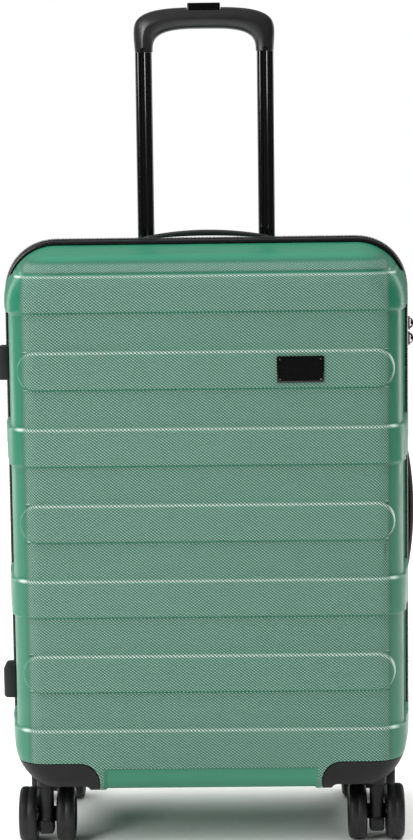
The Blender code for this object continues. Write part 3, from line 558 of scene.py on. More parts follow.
def tub(side, inset, rimY, faceY, edgeRadius, halfWidth=None, span=None, cornerRadius=None, steps=None):
    # one rounded half of the case, closed at the rim, narrowing towards its face
    halfWidth = (halfWidth or case["halfWidth"]) - inset
    bottom, top = span or (case["bottom"], case["top"])
    bottom, top = bottom + inset, top - inset
    cornerRadius = (cornerRadius or case["cornerRadius"]) - inset
    cornerSteps, edgeSteps = steps or (case["cornerSteps"], case["edgeSteps"])
    near, far = sorted((side * rimY, side * faceY))
    bm = blockMesh((-halfWidth, near, bottom), (halfWidth, far, top))
    bevel(bm, [e for e in bm.edges if abs(e.verts[0].co.y - e.verts[1].co.y) > 0.001], cornerRadius,
          cornerSteps)
    face = side * faceY
    outline = [e for e in bm.edges if all(abs(v.co.y - face) < 1e-6 for v in e.verts)]
    bevel(bm, outline, edgeRadius, edgeSteps)
    centre = (bottom + top) / 2
    halfHeight = (top - bottom) / 2
    for vert in bm.verts:
        share = abs(vert.co.y) / case["faceY"]
        vert.co.x *= 1.0 - case["draft"] / halfWidth * share
        vert.co.z = centre + (vert.co.z - centre) * (1.0 - case["draft"] / halfHeight * share)
    return bm


def recess(beyond, radius):
    # how far a rounded edge has come in at a depth, measured from the face
    depth = max(0.0, beyond + radius)
    return radius - math.sqrt(max(0.0, radius ** 2 - depth ** 2))


def caseTub(side, inset):
    # the case's own form, with a tighter radius along the lower edge of its face
    faceY = case["faceY"] - inset
    radius = case["edgeRadius"] - inset
    bottom = case["bottom"] + inset
    bm = tub(side, inset, case["rimY"], faceY, radius)
    for vert in bm.verts:
        beyond = abs(vert.co.y) - faceY
        wide = recess(beyond, radius)
        blend = (bottom + case["bottomBlend"] - vert.co.z) / (case["bottomBlend"] - wide)
        vert.co.z -= (wide - recess(beyond, case["bottomEdge"] - inset)) * max(0.0, min(1.0, blend))
    return bm


def openRim(bm, side, rimY):
    rim = [f for f in bm.faces if all(abs(v.co.y - side * rimY) < 1e-6 for v in f.verts)]
    bmesh.ops.delete(bm, geom=rim, context="FACES")


def bandEdge(number):
    return bands["top"] - number * bands["pitch"]


def ease(value):
    value = max(0.0, min(1.0, value))
    return value * value * (3 - 2 * value)


def within(value, low, high, ramp):
    return ease(min(value - low, high - value) / ramp + 0.5)


def padCover(x, z, upper, lower):
    # 1 on a raised pad with round ends, 0 off it
    low, high = bandEdge(lower), bandEdge(upper)
    half = (high - low) / 2
    reach = bands["padEnd"] - half
    beyond = max(0.0, abs(x) - reach)
    return ease((half - math.hypot(beyond, z - (low + high) / 2)) / bands["ramp"] + 0.5)


def hollowShare(point):
    # 1 in a hollow, 0 on a raised band or pad
    share = 0.0
    for (upper, lower), (padUpper, padLower) in zip(bands["hollows"], bands["pads"]):
        hollow = within(point.z, bandEdge(lower), bandEdge(upper), bands["ramp"])
        share += hollow * (1.0 - padCover(point.x, point.z, padUpper, padLower))
    return share


def creaseShare(z):
    half = bands["creaseWidth"] / 2
    return within(z, bandEdge(0) - half, bandEdge(0) + half, 0.003)


def sink(point, normal):
    # how far the skin lies under the raised bands, less than nothing where a band bulges over the zip
    hollow = hollowShare(point)
    depth = bands["step"] * hollow + bands["crease"] * creaseShare(point.z)
    panel = ease((bands["panelSide"] - abs(point.x)) / bands["panelRamp"] + 0.5)
    panel *= ease((bands["panelTop"] - point.z) / bands["panelRamp"] + 0.5)
    depth += bands["panelDepth"] * panel
    around = 0.0
    for upper, lower in bands["hollows"]:
        around += within(point.z, bandEdge(lower), bandEdge(upper), bands["ramp"])
    banded = (1.0 - around) * ease((bandEdge(0) - bands["bulgeDrop"] - point.z) / bands["ramp"] + 0.5)
    nearZip = 1.0 - ease((abs(point.y) - bands["bulgeFrom"]) / (bands["bulgeTo"] - bands["bulgeFrom"]))
    depth -= bands["bulge"] * banded * nearZip * ease(abs(normal.x) * 1.6 - 0.5)
    return depth * ease((abs(point.y) - bands["flatRim"]) / bands["rimRamp"])


def lineShare(point):
    # mask of the painted shade line: 1 on the smooth slope under a raised edge, at the left end of a pad and in the
    # crease, less on a slope that faces up, 0 elsewhere
    hollow = hollowShare(point)
    under = hollowShare(point - Vector((bands["ramp"] / 2, 0, bands["ramp"] / 2)))
    facing = 1.0 if under > hollow else 0.25
    return max(facing * min(1.0, 4.5 * hollow * (1.0 - hollow)), 0.8 * creaseShare(point.z))


def litShare(point):
    # mask of the painted highlight: 1 on the slope and brow of an upper edge and at the right end of a pad, which catch
    # the light
    hollow = hollowShare(point)
    over = hollowShare(point + Vector((bands["ramp"] * 0.75, 0, bands["ramp"] * 0.75)))
    brow = within(point.z, bandEdge(0) - bands["creaseWidth"] * 1.3,
                  bandEdge(0) - bands["creaseWidth"] * 0.4, 0.001)
    facing = 0.12 + 0.88 * ease((bands["padEnd"] + 0.003 - abs(point.x)) / 0.003)
    return max(min(1.0, 1.5 * max(0.0, over - hollow)), 0.8 * brow) * facing


def cutPlane(bm, point, normal, keep=None):
    faces = [f for f in bm.faces if keep is None or keep(f)]
    edges = {e for f in faces for e in f.edges}
    verts = {v for f in faces for v in f.verts}
    bmesh.ops.bisect_plane(bm, geom=[*verts, *edges, *faces], dist=2e-6, plane_co=point, plane_no=normal)


def layFlow(bm):
    # a flat coordinate that follows the skin round its edges, for the emboss
    flow = bm.loops.layers.uv.new("flow")
    straightX = case["halfWidth"] - case["cornerRadius"]
    centre = (case["top"] + case["bottom"]) / 2
    straightZ = (case["top"] - case["bottom"]) / 2 - case["cornerRadius"]
    for face in bm.faces:
        for loop in face.loops:
            x, y, z = loop.vert.co
            outX = max(0.0, abs(x) - straightX)
            outZ = max(0.0, abs(z - centre) - straightZ)
            turn = math.atan2(outZ, outX) / (math.pi / 2) if outX + outZ > 0 else 0.0
            back = case["faceY"] - abs(y)
            u = x + math.copysign(back, x) * (1 - turn) if outX > 0 else x
            v = z + math.copysign(back, z - centre) * turn if outZ > 0 else z
            loop[flow].uv = (u, v)


def openBox(bm, low, high):
    # takes away the skin inside a box
    for axis in range(3):
        normal = Vector([1.0 if i == axis else 0.0 for i in range(3)])
        cutPlane(bm, low, normal)
        cutPlane(bm, high, normal)
    inside = [f for f in bm.faces if all(low[i] < f.calc_center_median()[i] < high[i] for i in range(3))]
    bmesh.ops.delete(bm, geom=inside, context="FACES")


def shellSkin(side, openings):
    # the pressed skin of one half, finely meshed where it steps
    bm = caseTub(side, 0.0)
    openRim(bm, side, case["rimY"])
    ramp = bands["ramp"]
    for number in range(1, 13):
        for share in (-1.3, -0.5, -0.34, -0.17, 0.0, 0.17, 0.34, 0.5, 1.3):
            cutPlane(bm, (0, 0, bandEdge(number) + ramp * share), (0, 0, 1))
    for share in (-5.2, -4.2, -3.0, -2.2, -1.2, 0.0, 1.2, 2.4, 3.4):
        cutPlane(bm, (0, 0, bandEdge(0) + share * mm), (0, 0, 1))
    for share in (-0.5, -0.25, 0.0, 0.25, 0.5):
        cutPlane(bm, (0, 0, bands["panelTop"] + bands["panelRamp"] * share), (0, 0, 1))
        for hand in (-1, 1):
            cutPlane(bm, (hand * (bands["panelSide"] + bands["panelRamp"] * share), 0, 0), (1, 0, 0),
                  lambda f: f.calc_center_median().z < 0.13)
    rim = bands["flatRim"]
    for share in (0.0, 0.33, 0.66, 1.0):
        cutPlane(bm, (0, side * (rim + bands["rimRamp"] * share), 0), (0, 1, 0))
    for share in (0.0, 0.25, 0.5, 0.75, 1.0):
        y = bands["bulgeFrom"] + (bands["bulgeTo"] - bands["bulgeFrom"]) * share
        cutPlane(bm, (0, side * y, 0), (0, 1, 0))
    for upper, lower in bands["pads"]:
        low, high = bandEdge(lower) - ramp, bandEdge(upper) + ramp
        def inPad(face):
            middle = face.calc_center_median()
            return low - 1e-4 < middle.z < high + 1e-4 and abs(middle.x) > 0.16

        for step in range(1, 18):
            cutPlane(bm, (0, 0, low + (high - low) * step / 18), (0, 0, 1), inPad)
        for hand in (-1, 1):
            for step in range(22):
                x = hand * (bands["padEnd"] - 0.0225 + 0.0255 * step / 21)
                cutPlane(bm, (x, 0, 0), (1, 0, 0),
                         lambda f: inPad(f) or low < f.calc_center_median().z < high)
    for low, high in openings:
        openBox(bm, low, high)
    layFlow(bm)
    bm.normal_update()
    # masks for the painted shade lines and the painted highlights that the shell finish reads
    line = bm.verts.layers.float.new("line")
    lit = bm.verts.layers.float.new("lit")
    for vert in bm.verts:
        vert[line] = lineShare(vert.co)
        vert[lit] = litShare(vert.co)
    moves = [(vert, vert.normal * sink(vert.co, vert.normal)) for vert in bm.verts]
    for vert, move in moves:
        vert.co -= move
    return bm


def cornerTool(side, hand, gap):
    # the rounded lower corner that the caster housing takes up
    innerX, innerY, topZ = 0.1215 + gap, 0.030 + gap, 0.1043 - gap
    low, high = sorted((hand * innerX, hand * 0.26))
    near, far = sorted((side * innerY, side * 0.16))
    bm = blockMesh((low, near, 0.050), (high, far, topZ))

    def walls(co):
        return (abs(co.x - hand * innerX) < 1e-6, abs(co.y - side * innerY) < 1e-6, abs(co.z - topZ) < 1e-6)

    rounded = []
    for edge in bm.edges:
        first, second = (walls(vert.co) for vert in edge.verts)
        if sum(a and b for a, b in zip(first, second)) == 2:
            rounded.append(edge)
    bevel(bm, rounded, 0.022, 12)
    return toObject(bm, "corner_tool")


def makeShell(side, word, openings):
    skin = toObject(shellSkin(side, openings), word + "_shell_skin")
    wall = skin.modifiers.new("wall", "SOLIDIFY")
    wall.thickness = case["wall"]
    wall.offset = -1.0
    settle(skin)
    return carve(skin, [cornerTool(side, hand, -0.0004) for hand in (-1, 1)])


frontShell = makeShell(-1, "front", [])
fit(frontShell, "shell", "shell", "front_half", "front_shell", sharp=38)
print("front shell", len(frontShell.data.polygons), "faces")

bezelLow, bezelHigh = (Vector(v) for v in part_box("trolley_bezel"))
lockLow, lockHigh = (Vector(v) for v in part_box("lock_housing"))
rearOpenings = [
    (bezelLow - Vector((0.0004, 0.0004, 0.0004)), bezelHigh + Vector((0.0004, 0.05, 0.02))),
    (lockLow - Vector((0.0060, 0.0003, 0.0003)), lockHigh + Vector((0.006, 0.0003, 0.0003))),
]
rearShell = makeShell(1, "rear", rearOpenings)
fit(rearShell, "shell", "shell", "rear_half", "rear_shell", sharp=38)
print("rear shell", len(rearShell.data.polygons), "faces")


# Corner housings: a thin tray with a boss over each caster

housing = {"wall": 0.003, "arch": 0.0785, "archFrom": (0.132, 0.034), "boss": 0.011, "bore": 0.0043,
           "rim": 0.094}


def makeHousing(side, hand, name):
    skin = toObject(caseTub(side, 0.0), name + "_skin")
    carve(skin, [cornerTool(side, hand, 0.0005)], "INTERSECT")
    wall = housing["wall"]
    swivel = middle(name.replace("housing", "fork"))
    low, high = sorted((hand * (0.1215 + wall), hand * 0.27))
    near, far = sorted((side * (0.030 + wall), side * 0.17))
    space = block("space", (low, near, housing["arch"] + wall), (high, far, 0.12))
    y = side * 0.085
    carve(space, [rod("boss", housing["boss"], (swivel.x, y, 0.07), (swivel.x, y, 0.13))])
    low, high = sorted((hand * 0.11, hand * 0.28))
    near, far = sorted((side * 0.02, side * 0.18))
    carve(space, [block("over", (low, near, housing["rim"]), (high, far, 0.13))], "UNION")
    carve(space, [toObject(caseTub(side, wall), "inner")], "INTERSECT")
    low, high = sorted((hand * housing["archFrom"][0], hand * 0.27))
    near, far = sorted((side * housing["archFrom"][1], side * 0.17))
    arch = blockMesh((low, near, 0.03), (high, far, housing["arch"]))
    inner = hand * housing["archFrom"][0]
    bevel(arch, [e for e in arch.edges if all(abs(v.co.x - inner) < 1e-6 and v.co.z > 0.07 for v in e.verts)], 0.007, 8)
    bore = rod("bore", housing["bore"], (swivel.x, y, 0.06), (swivel.x, y, 0.13))
    carve(skin, [space, toObject(arch, "arch"), bore])
    skin.name = name + "_moulding"
    return skin


for side, half in ((-1, "front"), (1, "rear")):
    for hand, mark in ((-1, "left"), (1, "right")):
        node = "caster_housing_%s_%s" % (half, mark)
        fit(makeHousing(side, hand, node), "plastic", "black_plastic", half + "_half", node, sharp=30)
print("corner housings made")


# Zip and piping round the rim

rim = {
    "cornerSteps": 18, "pipingOut": 0.0044, "pipingFrom": 0.0056, "pipingWide": 0.0076,
    "tapeOut": 0.0031, "tapeIn": 0.0016, "toothPitch": 3.0 * mm, "toothOut": 0.0068, "toothWide": 1.7 * mm,
    "sideShare": 0.5,    # the zip lies lower along the sides than over the top
}


def rimPath(steps):
    # points and outward directions round the case's edge, seen from the front
    halfWidth = case["halfWidth"]
    radius = case["cornerRadius"]
    points = []
    for signX, signZ, start in ((1, 1, 0), (-1, 1, 90), (-1, -1, 180), (1, -1, 270)):
        centreX = signX * (halfWidth - radius)
        centreZ = (case["top"] - radius) if signZ > 0 else (case["bottom"] + radius)
        for step in range(steps + 1):
            angle = math.radians(start + 90 * step / steps)
            out = Vector((math.cos(angle), 0, math.sin(angle)))
            points.append((Vector((centreX, 0, centreZ)) + out * radius, out))
    return points


def rimLift(out):
    return rim["sideShare"] + (1 - rim["sideShare"]) * ease(max(0.0, out.z))


def sweepRim(name, section, side):
    rings = []
    for point, out in rimPath(rim["cornerSteps"]):
        lift = rimLift(out)
        rings.append([point + out * outward * lift + Vector((0, side * across, 0)) for outward,
                      across in section])
    return loft(name, rings, closed=True)


def beadSection(low, high, near, far, steps=12):
    # a flat backed bead: out from the shell, across from the zip line
    section = [(low, near), (low, far)]
    for step in range(steps + 1):
        angle = math.pi * step / steps
        across = (near + far) / 2 + math.cos(angle) * (far - near) / 2
        section.append((low + (high - low) * (0.25 + 0.75 * math.sin(angle) ** 0.75), across))
    return section


def makePiping(side):
    near, far = rim["pipingFrom"], rim["pipingFrom"] + rim["pipingWide"]
    bead = sweepRim("piping_bead", beadSection(0.0002, rim["pipingOut"], near, far), side)
    return bead


def makeTape(side):
    section = [(-rim["tapeIn"], 0.0011), (rim["tapeOut"] - 0.0004, 0.0011), (rim["tapeOut"], 0.0016),
               (rim["tapeOut"], 0.0048), (rim["tapeOut"] - 0.0004, 0.0053), (-rim["tapeIn"], 0.0053)]
    return sweepRim("tape", section, side)


def rimLength():
    straight = 2 * (2 * case["halfWidth"] + case["top"] - case["bottom"]) - 8 * case["cornerRadius"]
    return straight + 2 * math.pi * case["cornerRadius"]


def alongRim(distance):
    path = rimPath(rim["cornerSteps"])
    for (first, outA), (second, outB) in zip(path, path[1:] + path[:1]):
        length = (second - first).length
        if distance <= length:
            share = distance / length if length else 0.0
            return first.lerp(second, share), outA.lerp(outB, share).normalized()
        distance -= length
    return path[0]


def makeTeeth(side):
    # every tooth is a small rounded bar that hooks over the zip line
    count = int(rimLength() / rim["toothPitch"])
    path = rimPath(rim["cornerSteps"])
    total = sum((b[0] - a[0]).length for a, b in zip(path, path[1:] + path[:1]))
    bm = bmesh.new()
    half = rim["toothWide"] / 2
    for number in range(count):
        spot = (number + (0.5 if side > 0 else 0.0)) * total / count
        point, out = alongRim(spot % total)
        along = Vector((-out.z, 0, out.x))
        rows = []
        for across, high in ((-0.0009, 0.7), (-0.0004, 1.0), (0.0020, 1.0), (0.0027, 0.75)):
            ring = []
            for turn, lift in ((-1, 0.0), (-0.85, 0.7), (0, 1.0), (0.85, 0.7), (1, 0.0)):
                outward = (0.0022 + (rim["toothOut"] - 0.0022) * lift * high) * rimLift(out)
                place = point + along * half * turn + out * outward + Vector((0, side * across, 0))
                ring.append(bm.verts.new(place))
            rows.append(ring)
        for first, second in zip(rows, rows[1:]):
            for i in range(5):
                j = (i + 1) % 5
                bm.faces.new((first[i], first[j], second[j], second[i]))
        bm.faces.new(rows[0][::-1])
        bm.faces.new(rows[-1])
    bmesh.ops.recalc_face_normals(bm, faces=bm.faces)
    return toObject(bm, "teeth")


for side, half in ((-1, "front"), (1, "rear")):
    body = half + "_half"
    bead = makePiping(side)
    bead.name = half + "_piping_bead"
    fit(bead, "piping", "piping", body, half + "_piping", sharp=50)
    tape = makeTape(side)
    tape.name = half + "_zip_tape_weave"
    fit(tape, "tape", "zip_tape", body, half + "_zip_tape", sharp=40)
    teeth = makeTeeth(side)
    teeth.name = half + "_zip_teeth"
    fit(teeth, "teeth", "zip_tape", body, sharp=50)
print("zip and piping made")


# Trolley: grip, button, fluted tubes and bezel

grip = {
    "halfWidth": 0.0805, "footHalfWidth": 0.0793, "foot": 0.877, "spring": 0.895, "rise": 0.032,
    "square": 3.35,
    "opening": (0.0592, 0.0258), "openingSquare": 3.2, "steps": 72,
    "section": ((0.0, 0.0042), (0.02, 0.0062), (0.06, 0.0078), (0.14, 0.0092), (0.28, 0.0102), (0.40, 0.0108),
                (0.50, 0.0110), (0.56, 0.0107), (0.64, 0.0099), (0.76, 0.0083), (0.88, 0.0064),
                (0.95, 0.0048),
                (0.985, 0.0030), (1.0, 0.0012)),
    "notch": 0.0036, "notchHigh": 1.35,
}


def archLine(halfWidth, foot, rise, square, steps):
    points = []
    for step in range(steps + 1):
        angle = math.pi * step / steps
        across = math.copysign(abs(math.cos(angle)) ** (2 / square), math.cos(angle))
        points.append(Vector((halfWidth * across, 0, foot + rise * math.sin(angle) ** (2 / square))))
    return points


def evenly(points, count):
    # the same line with evenly spaced points
    lengths = [0.0]
    for first, second in zip(points, points[1:]):
        lengths.append(lengths[-1] + (second - first).length)
    result = []
    segment = 0
    for step in range(count + 1):
        target = lengths[-1] * step / count
        while segment < len(points) - 2 and lengths[segment + 1] < target:
            segment += 1
        span = lengths[segment + 1] - lengths[segment]
        share = (target - lengths[segment]) / span if span else 0.0
        result.append(points[segment].lerp(points[segment + 1], min(1.0, share)))
    return result


def makeGrip():
    y = middle("trolley_grip").y
    outer = archLine(grip["halfWidth"], grip["spring"], grip["rise"], grip["square"], 160)
    feet = [Vector((hand * grip["footHalfWidth"], 0, grip["foot"])) for hand in (1, -1)]
    outer = evenly(feet[:1] + outer + feet[1:], grip["steps"])
    inner = evenly(archLine(grip["opening"][0], grip["foot"], grip["opening"][1], grip["openingSquare"],
                            160), grip["steps"])
    rings = []
    for inside, outside in zip(inner, outer):
        front = [inside.lerp(outside, share) - Vector((0, depth, 0)) for share, depth in grip["section"]]
        back = [inside.lerp(outside, share) + Vector((0, depth, 0)) for share,
                depth in reversed(grip["section"])]
        rings.append([point + Vector((0, y, 0)) for point in front + back])
    obj = loft("grip_moulding", rings)
    tools = []
    for node in ("inner_tube_left", "inner_tube_right"):
        centre = middle(node)
        for away in (-1, 1):
            notch = rod("notch", grip["notch"], (centre.x, y + away * 0.0055, 0),
                        (centre.x, y + away * 0.02, 0))
            notch.scale.z = grip["notchHigh"]
            notch.location.z = grip["foot"]
            tools.append(notch)
    low, high = (Vector(v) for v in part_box("trolley_button"))
    room = Vector((0.0004, 0.0004, 0.004))
    tools.append(block("button_well", low - room, high + room, 0.0014))
    return carve(obj, tools)


fit(makeGrip(), "grip", "black_plastic", "trolley_top", "trolley_grip", sharp=42)


def makeButton():
    low, high = (Vector(v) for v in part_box("trolley_button"))
    key = block("button_key", low, high, 0.0014, 5)
    dish = rod("dish", 0.060, (low.x - 0.01, (low.y + high.y) / 2, high.z + 0.0596),
               (high.x + 0.01, (low.y + high.y) / 2, high.z + 0.0596), 160)
    return carve(key, [dish])


fit(makeButton(), "plate", "black_plastic", "trolley_release", "trolley_button", sharp=35)

flute = {"corner": 0.0048, "halfChord": 0.0038, "depth": 0.0016, "cornerSteps": 8, "fluteSteps": 12,
         "wall": 0.0012}


def tubeSection(width, depth):
    # rounded oblong with one hollow flute down its front and one down its back
    corner = min(flute["corner"], depth / 2 - 0.0005)
    radius = (flute["halfChord"] ** 2 + flute["depth"] ** 2) / (2 * flute["depth"])
    swing = math.asin(flute["halfChord"] / radius)
    points = []
    for start, signX, signY in ((0, 1, 1), (90, -1, 1), (180, -1, -1), (270, 1, -1)):
        for step in range(flute["cornerSteps"] + 1):
            angle = math.radians(start + 90 * step / flute["cornerSteps"])
            x = signX * (width / 2 - corner) + corner * math.cos(angle)
            y = signY * (depth / 2 - corner) + corner * math.sin(angle)
            points.append((x, y))
        if start in (0, 180):
            side = 1 if start == 0 else -1
            for step in range(flute["fluteSteps"] + 1):
                angle = swing * (1 - 2 * step / flute["fluteSteps"])
                x = side * radius * math.sin(angle)
                y = side * (depth / 2 - flute["depth"] + radius * (1 - math.cos(angle)))
                points.append((x, y))
    return points


def makeTube(node, name):
    low, high = (Vector(v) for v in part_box(node))
    centre = (low + high) / 2
    section = tubeSection(high.x - low.x, high.y - low.y)
    rings = [[Vector((centre.x + x, centre.y + y, z)) for x, y in section] for z in (low.z, high.z)]
    obj = loft(name, rings, caps=False)
    wall = obj.modifiers.new("wall", "SOLIDIFY")
    wall.thickness = flute["wall"]
    wall.offset = -1.0
    return settle(obj)


for mark in ("left", "right"):
    inner = makeTube("inner_tube_" + mark, "inner_fluted_tube_" + mark)
    fit(inner, "tube", "black_tube", "trolley_top", "inner_tube_" + mark, sharp=30)
    outer = makeTube("middle_tube_" + mark, "middle_fluted_tube_" + mark)
    fit(outer, "tube", "black_tube", "trolley_middle", "middle_tube_" + mark, sharp=30)

bezel = {"pocket": (0.0835, 0.0125), "floor": 0.6145, "corner": 0.006}


def makeBezel():
    low, high = (Vector(v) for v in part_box("trolley_bezel"))
    skin = toObject(caseTub(1, 0.0), "bezel_moulding")
    carve(skin, [block("bezel_block", low, high + Vector((0, 0.03, 0.03)))], "INTERSECT")
    y = middle("trolley_grip").y
    halfX, halfY = bezel["pocket"]
    pocket = blockMesh((-halfX, y - halfY, bezel["floor"]), (halfX, y + halfY, 0.72))
    upright = [e for e in pocket.edges if abs(e.verts[0].co.z - e.verts[1].co.z) > 0.001]
    bevel(pocket, upright, bezel["corner"], 8)
    tools = [toObject(pocket, "pocket")]
    for node in ("middle_tube_left", "middle_tube_right"):
        tubeLow, tubeHigh = (Vector(v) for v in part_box(node))
        tools.append(block("tube_hole", (tubeLow.x - 0.0003, tubeLow.y - 0.0003, 0.59),
                           (tubeHigh.x + 0.0003, tubeHigh.y + 0.0003, 0.63), 0.003))
    return carve(skin, tools)


fit(makeBezel(), "plastic", "black_plastic", "rear_half", "trolley_bezel", sharp=30)
print("trolley made")


# Carry handles on the top and the right side

handle = {"halfLength": 0.071, "halfWide": 0.010, "legX": 0.060, "under": (0.0035, 0.0035),
          "over": (0.0065, 0.0070), "steps": 44}


def handleSection(across):
    # rounded strap section at a share of the length: wide and low, thicker in the middle
    rise = 1 - across ** 2
    low = handle["under"][0] + handle["under"][1] * rise
    high = handle["over"][0] + handle["over"][1] * rise
    taper = 1 - 0.22 * abs(across) ** 6
    centre = (low + high) / 2
    half = (high - low) / 2
    ring = []
    for step in range(24):
        angle = 2 * math.pi * step / 24
        y = math.copysign(abs(math.cos(angle)) ** 0.45, math.cos(angle)) * handle["halfWide"] * taper
        z = centre + math.copysign(abs(math.sin(angle)) ** 0.55, math.sin(angle)) * half
        ring.append(Vector((handle["halfLength"] * across, y, z)))
    return ring


def makeHandle(name, place):
    rings = [handleSection(-1 + 2 * step / handle["steps"]) for step in range(handle["steps"] + 1)]
    strap = loft(name + "_strap", rings)
    ribs = []
    for number in range(-7, 8):
        x = number * 0.0052
        ribs.append(block("rib", (x - 0.0009, -0.0065, -0.002),
                          (x + 0.0009, 0.0065, 0.0048 + 0.0035 * (1 - (x / handle["halfLength"]) ** 2)),
                          0.0004, 2))
    carve(strap, ribs)
    legs = []
    for hand in (-1, 1):
        x = hand * handle["legX"]
        legs.append(block("leg", (x - 0.004, -0.005, -0.0165), (x + 0.004, 0.005, 0.0062), 0.001))
        legs.append(block("leg_foot", (x - 0.0065, -0.007, -0.0185), (x + 0.0065, 0.007, -0.0160), 0.0008))
    carve(strap, legs, "UNION")
    base = block(name + "_escutcheon", (-0.072, -0.0125, 0), (0.072, 0.0125, 0.0026), 0.0011, 4)
    recess = block("recess", (-0.066, -0.0088, 0.0014), (0.066, 0.0088, 0.01), 0.0005, 3)
    holes = [block("leg_hole", (hand * handle["legX"] - 0.0043, -0.0053, -0.03),
                   (hand * handle["legX"] + 0.0043, 0.0053, 0.02)) for hand in (-1, 1)]
    carve(base, [recess] + holes)
    for piece in (strap, base):
        piece.data.transform(place)
    return strap, base


topSpot = middle("top_handle_base")
topPlace = Matrix.Translation((topSpot.x, topSpot.y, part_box("top_handle_base")[0][2]))
sideSpot = middle("side_handle_base")
sidePlace = Matrix.Translation((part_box("side_handle_base")[0][0], sideSpot.y,
                                sideSpot.z)) @ Matrix.Rotation(math.pi / 2, 4, "Y")
for word, spot in (("top", topPlace), ("side", sidePlace)):
    strap, base = makeHandle(word + "_handle", spot)
    fit(strap, "grip", "black_plastic", word + "_handle", word + "_handle_grip", sharp=45)
    fit(base, "plastic", "black_plastic", "rear_half", word + "_handle_base", sharp=35)
print("carry handles made")


# Casters

wheel = {"steps": 72, "half": 0.010, "ribs": 8}


def wheelSection(radius):
    # tyre with soft shoulders round a dished hub: radius, distance across
    half = wheel["half"]
    shoulder = 0.0048
    outside = [(0.0031, 0.0082), (0.0060, 0.0084), (0.0066, 0.0078), (0.0068, 0.0062), (0.0200, 0.0056),
               (0.0206, 0.0062), (0.0210, 0.0088), (0.0216, 0.0093), (0.0226, 0.0093), (0.0230, 0.0088),
               (0.0234, 0.0094), (0.0242, half)]
    for step in range(9):
        angle = math.radians(90 * step / 8)
        outside.append((radius - shoulder + shoulder * math.sin(angle),
                        half - shoulder + shoulder * math.cos(angle)))
    groove = [(radius, 0.0012), (radius - 0.0004, 0.0004)]
    outside += groove
    return outside + [(r, -across) for r, across in reversed(outside)]


def makeWheel(node):
    centre = middle(node)
    radius = centre.z
    tyre = turned("tyre", wheelSection(radius), centre, wheel["steps"])
    paint(tyre, "wheel")
    parts = [tyre]
    for side in (-1, 1):
        for number in range(wheel["ribs"]):
            spoke = block("spoke", (min(side * 0.0055, side * 0.0078), -0.0009, 0.0062),
                          (max(side * 0.0055, side * 0.0078), 0.0009, 0.0210), 0.0004, 2)
            turn = Matrix.Rotation(2 * math.pi * number / wheel["ribs"], 4, "X")
            spoke.data.transform(Matrix.Translation(centre) @ turn)
            parts.append(paint(spoke, "plastic"))
    return gather("wheel_moulding", parts)


fork = {"collar": 0.0105, "stem": 0.0080, "web": 0.0055, "hub": 0.0085, "voxel": 0.0007, "smooth": 6}


def makeFork(node, axle):
    # one moulding: collar, stem, curved web, hub and the hood in front of it
    low, high = (Vector(v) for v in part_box(node))
    pin = middle(axle)
    x = (low.x + high.x) / 2
    y = pin.y - 0.015
    z = pin.z
    parts = [rod("collar", fork["collar"], (x, y, 0.0665), (x, y, 0.0782))]
    parts.append(rod("stem", fork["stem"], (x, y, 0.018), (x, y, 0.068)))
    parts.append(rod("pin", 0.004, (x, y, 0.074), (x, y, high.z)))
    parts.append(block("web", (x - fork["web"], y, 0.020), (x + fork["web"], pin.y + 0.008, 0.050), 0.0035))
    parts.append(rod("hub", fork["hub"], (x - 0.0104, pin.y, z), (x + 0.0104, pin.y, z)))
    parts.append(block("hood", (x - 0.0083, y - 0.0098, 0.0135), (x + 0.0083, y + 0.012, 0.0300), 0.0035))
    body = gather("fork_moulding", parts)
    remesh = body.modifiers.new("skin", "REMESH")
    remesh.mode = "VOXEL"
    remesh.voxel_size = fork["voxel"]
    soften = body.modifiers.new("soften", "SMOOTH")
    soften.iterations = fork["smooth"]
    soften.factor = 0.5
    return settle(body)


def makeAxle(node):
    low, high = (Vector(v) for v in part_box(node))
    centre = (low + high) / 2
    half = (high.x - low.x) / 2
    profile = [(0.0001, half), (0.0019, half), (0.0025, half - 0.0006), (0.0025, -half + 0.0006),
               (0.0019, -half), (0.0001, -half)]
    return turned("axle_pin", profile, centre, 28)


def copyTo(source, name, move):
    mesh = source.data.copy()
    mesh.transform(Matrix.Translation(move))
    obj = bpy.data.objects.new(name, mesh)
    bpy.context.scene.collection.objects.link(obj)
    return obj


firstCaster = "front_left"
firstWheel = "wheel_front_left_left"
patternFork = makeFork("caster_fork_" + firstCaster, "caster_axle_" + firstCaster)
patternAxle = makeAxle("caster_axle_" + firstCaster)
patternWheel = makeWheel(firstWheel)
for half in ("front", "rear"):
    for mark in ("left", "right"):
        where = half + "_" + mark
        move = middle("caster_axle_" + where) - middle("caster_axle_" + firstCaster)
        body = "caster_" + where
        fit(copyTo(patternFork, "fork_moulding_" + where, move), "plastic", "black_plastic", body,
            "caster_fork_" + where, sharp=60)
        fit(copyTo(patternAxle, "axle_pin_" + where, move), "steel", "steel", body, "caster_axle_" + where)
        for turn in ("left", "right"):
            node = "wheel_%s_%s" % (where, turn)
            piece = copyTo(patternWheel, node + "_tyre_and_hub", middle(node) - middle(firstWheel))
            fit(piece, None, "wheel", node, node, sharp=28)
for pattern in (patternFork, patternAxle, patternWheel):
    bpy.data.objects.remove(pattern, do_unlink=True)
print("casters made")


# Small pieces: feet, badge plate, lock and zip sliders

foot = {"rounding": 0.0045, "edge": 0.0008}


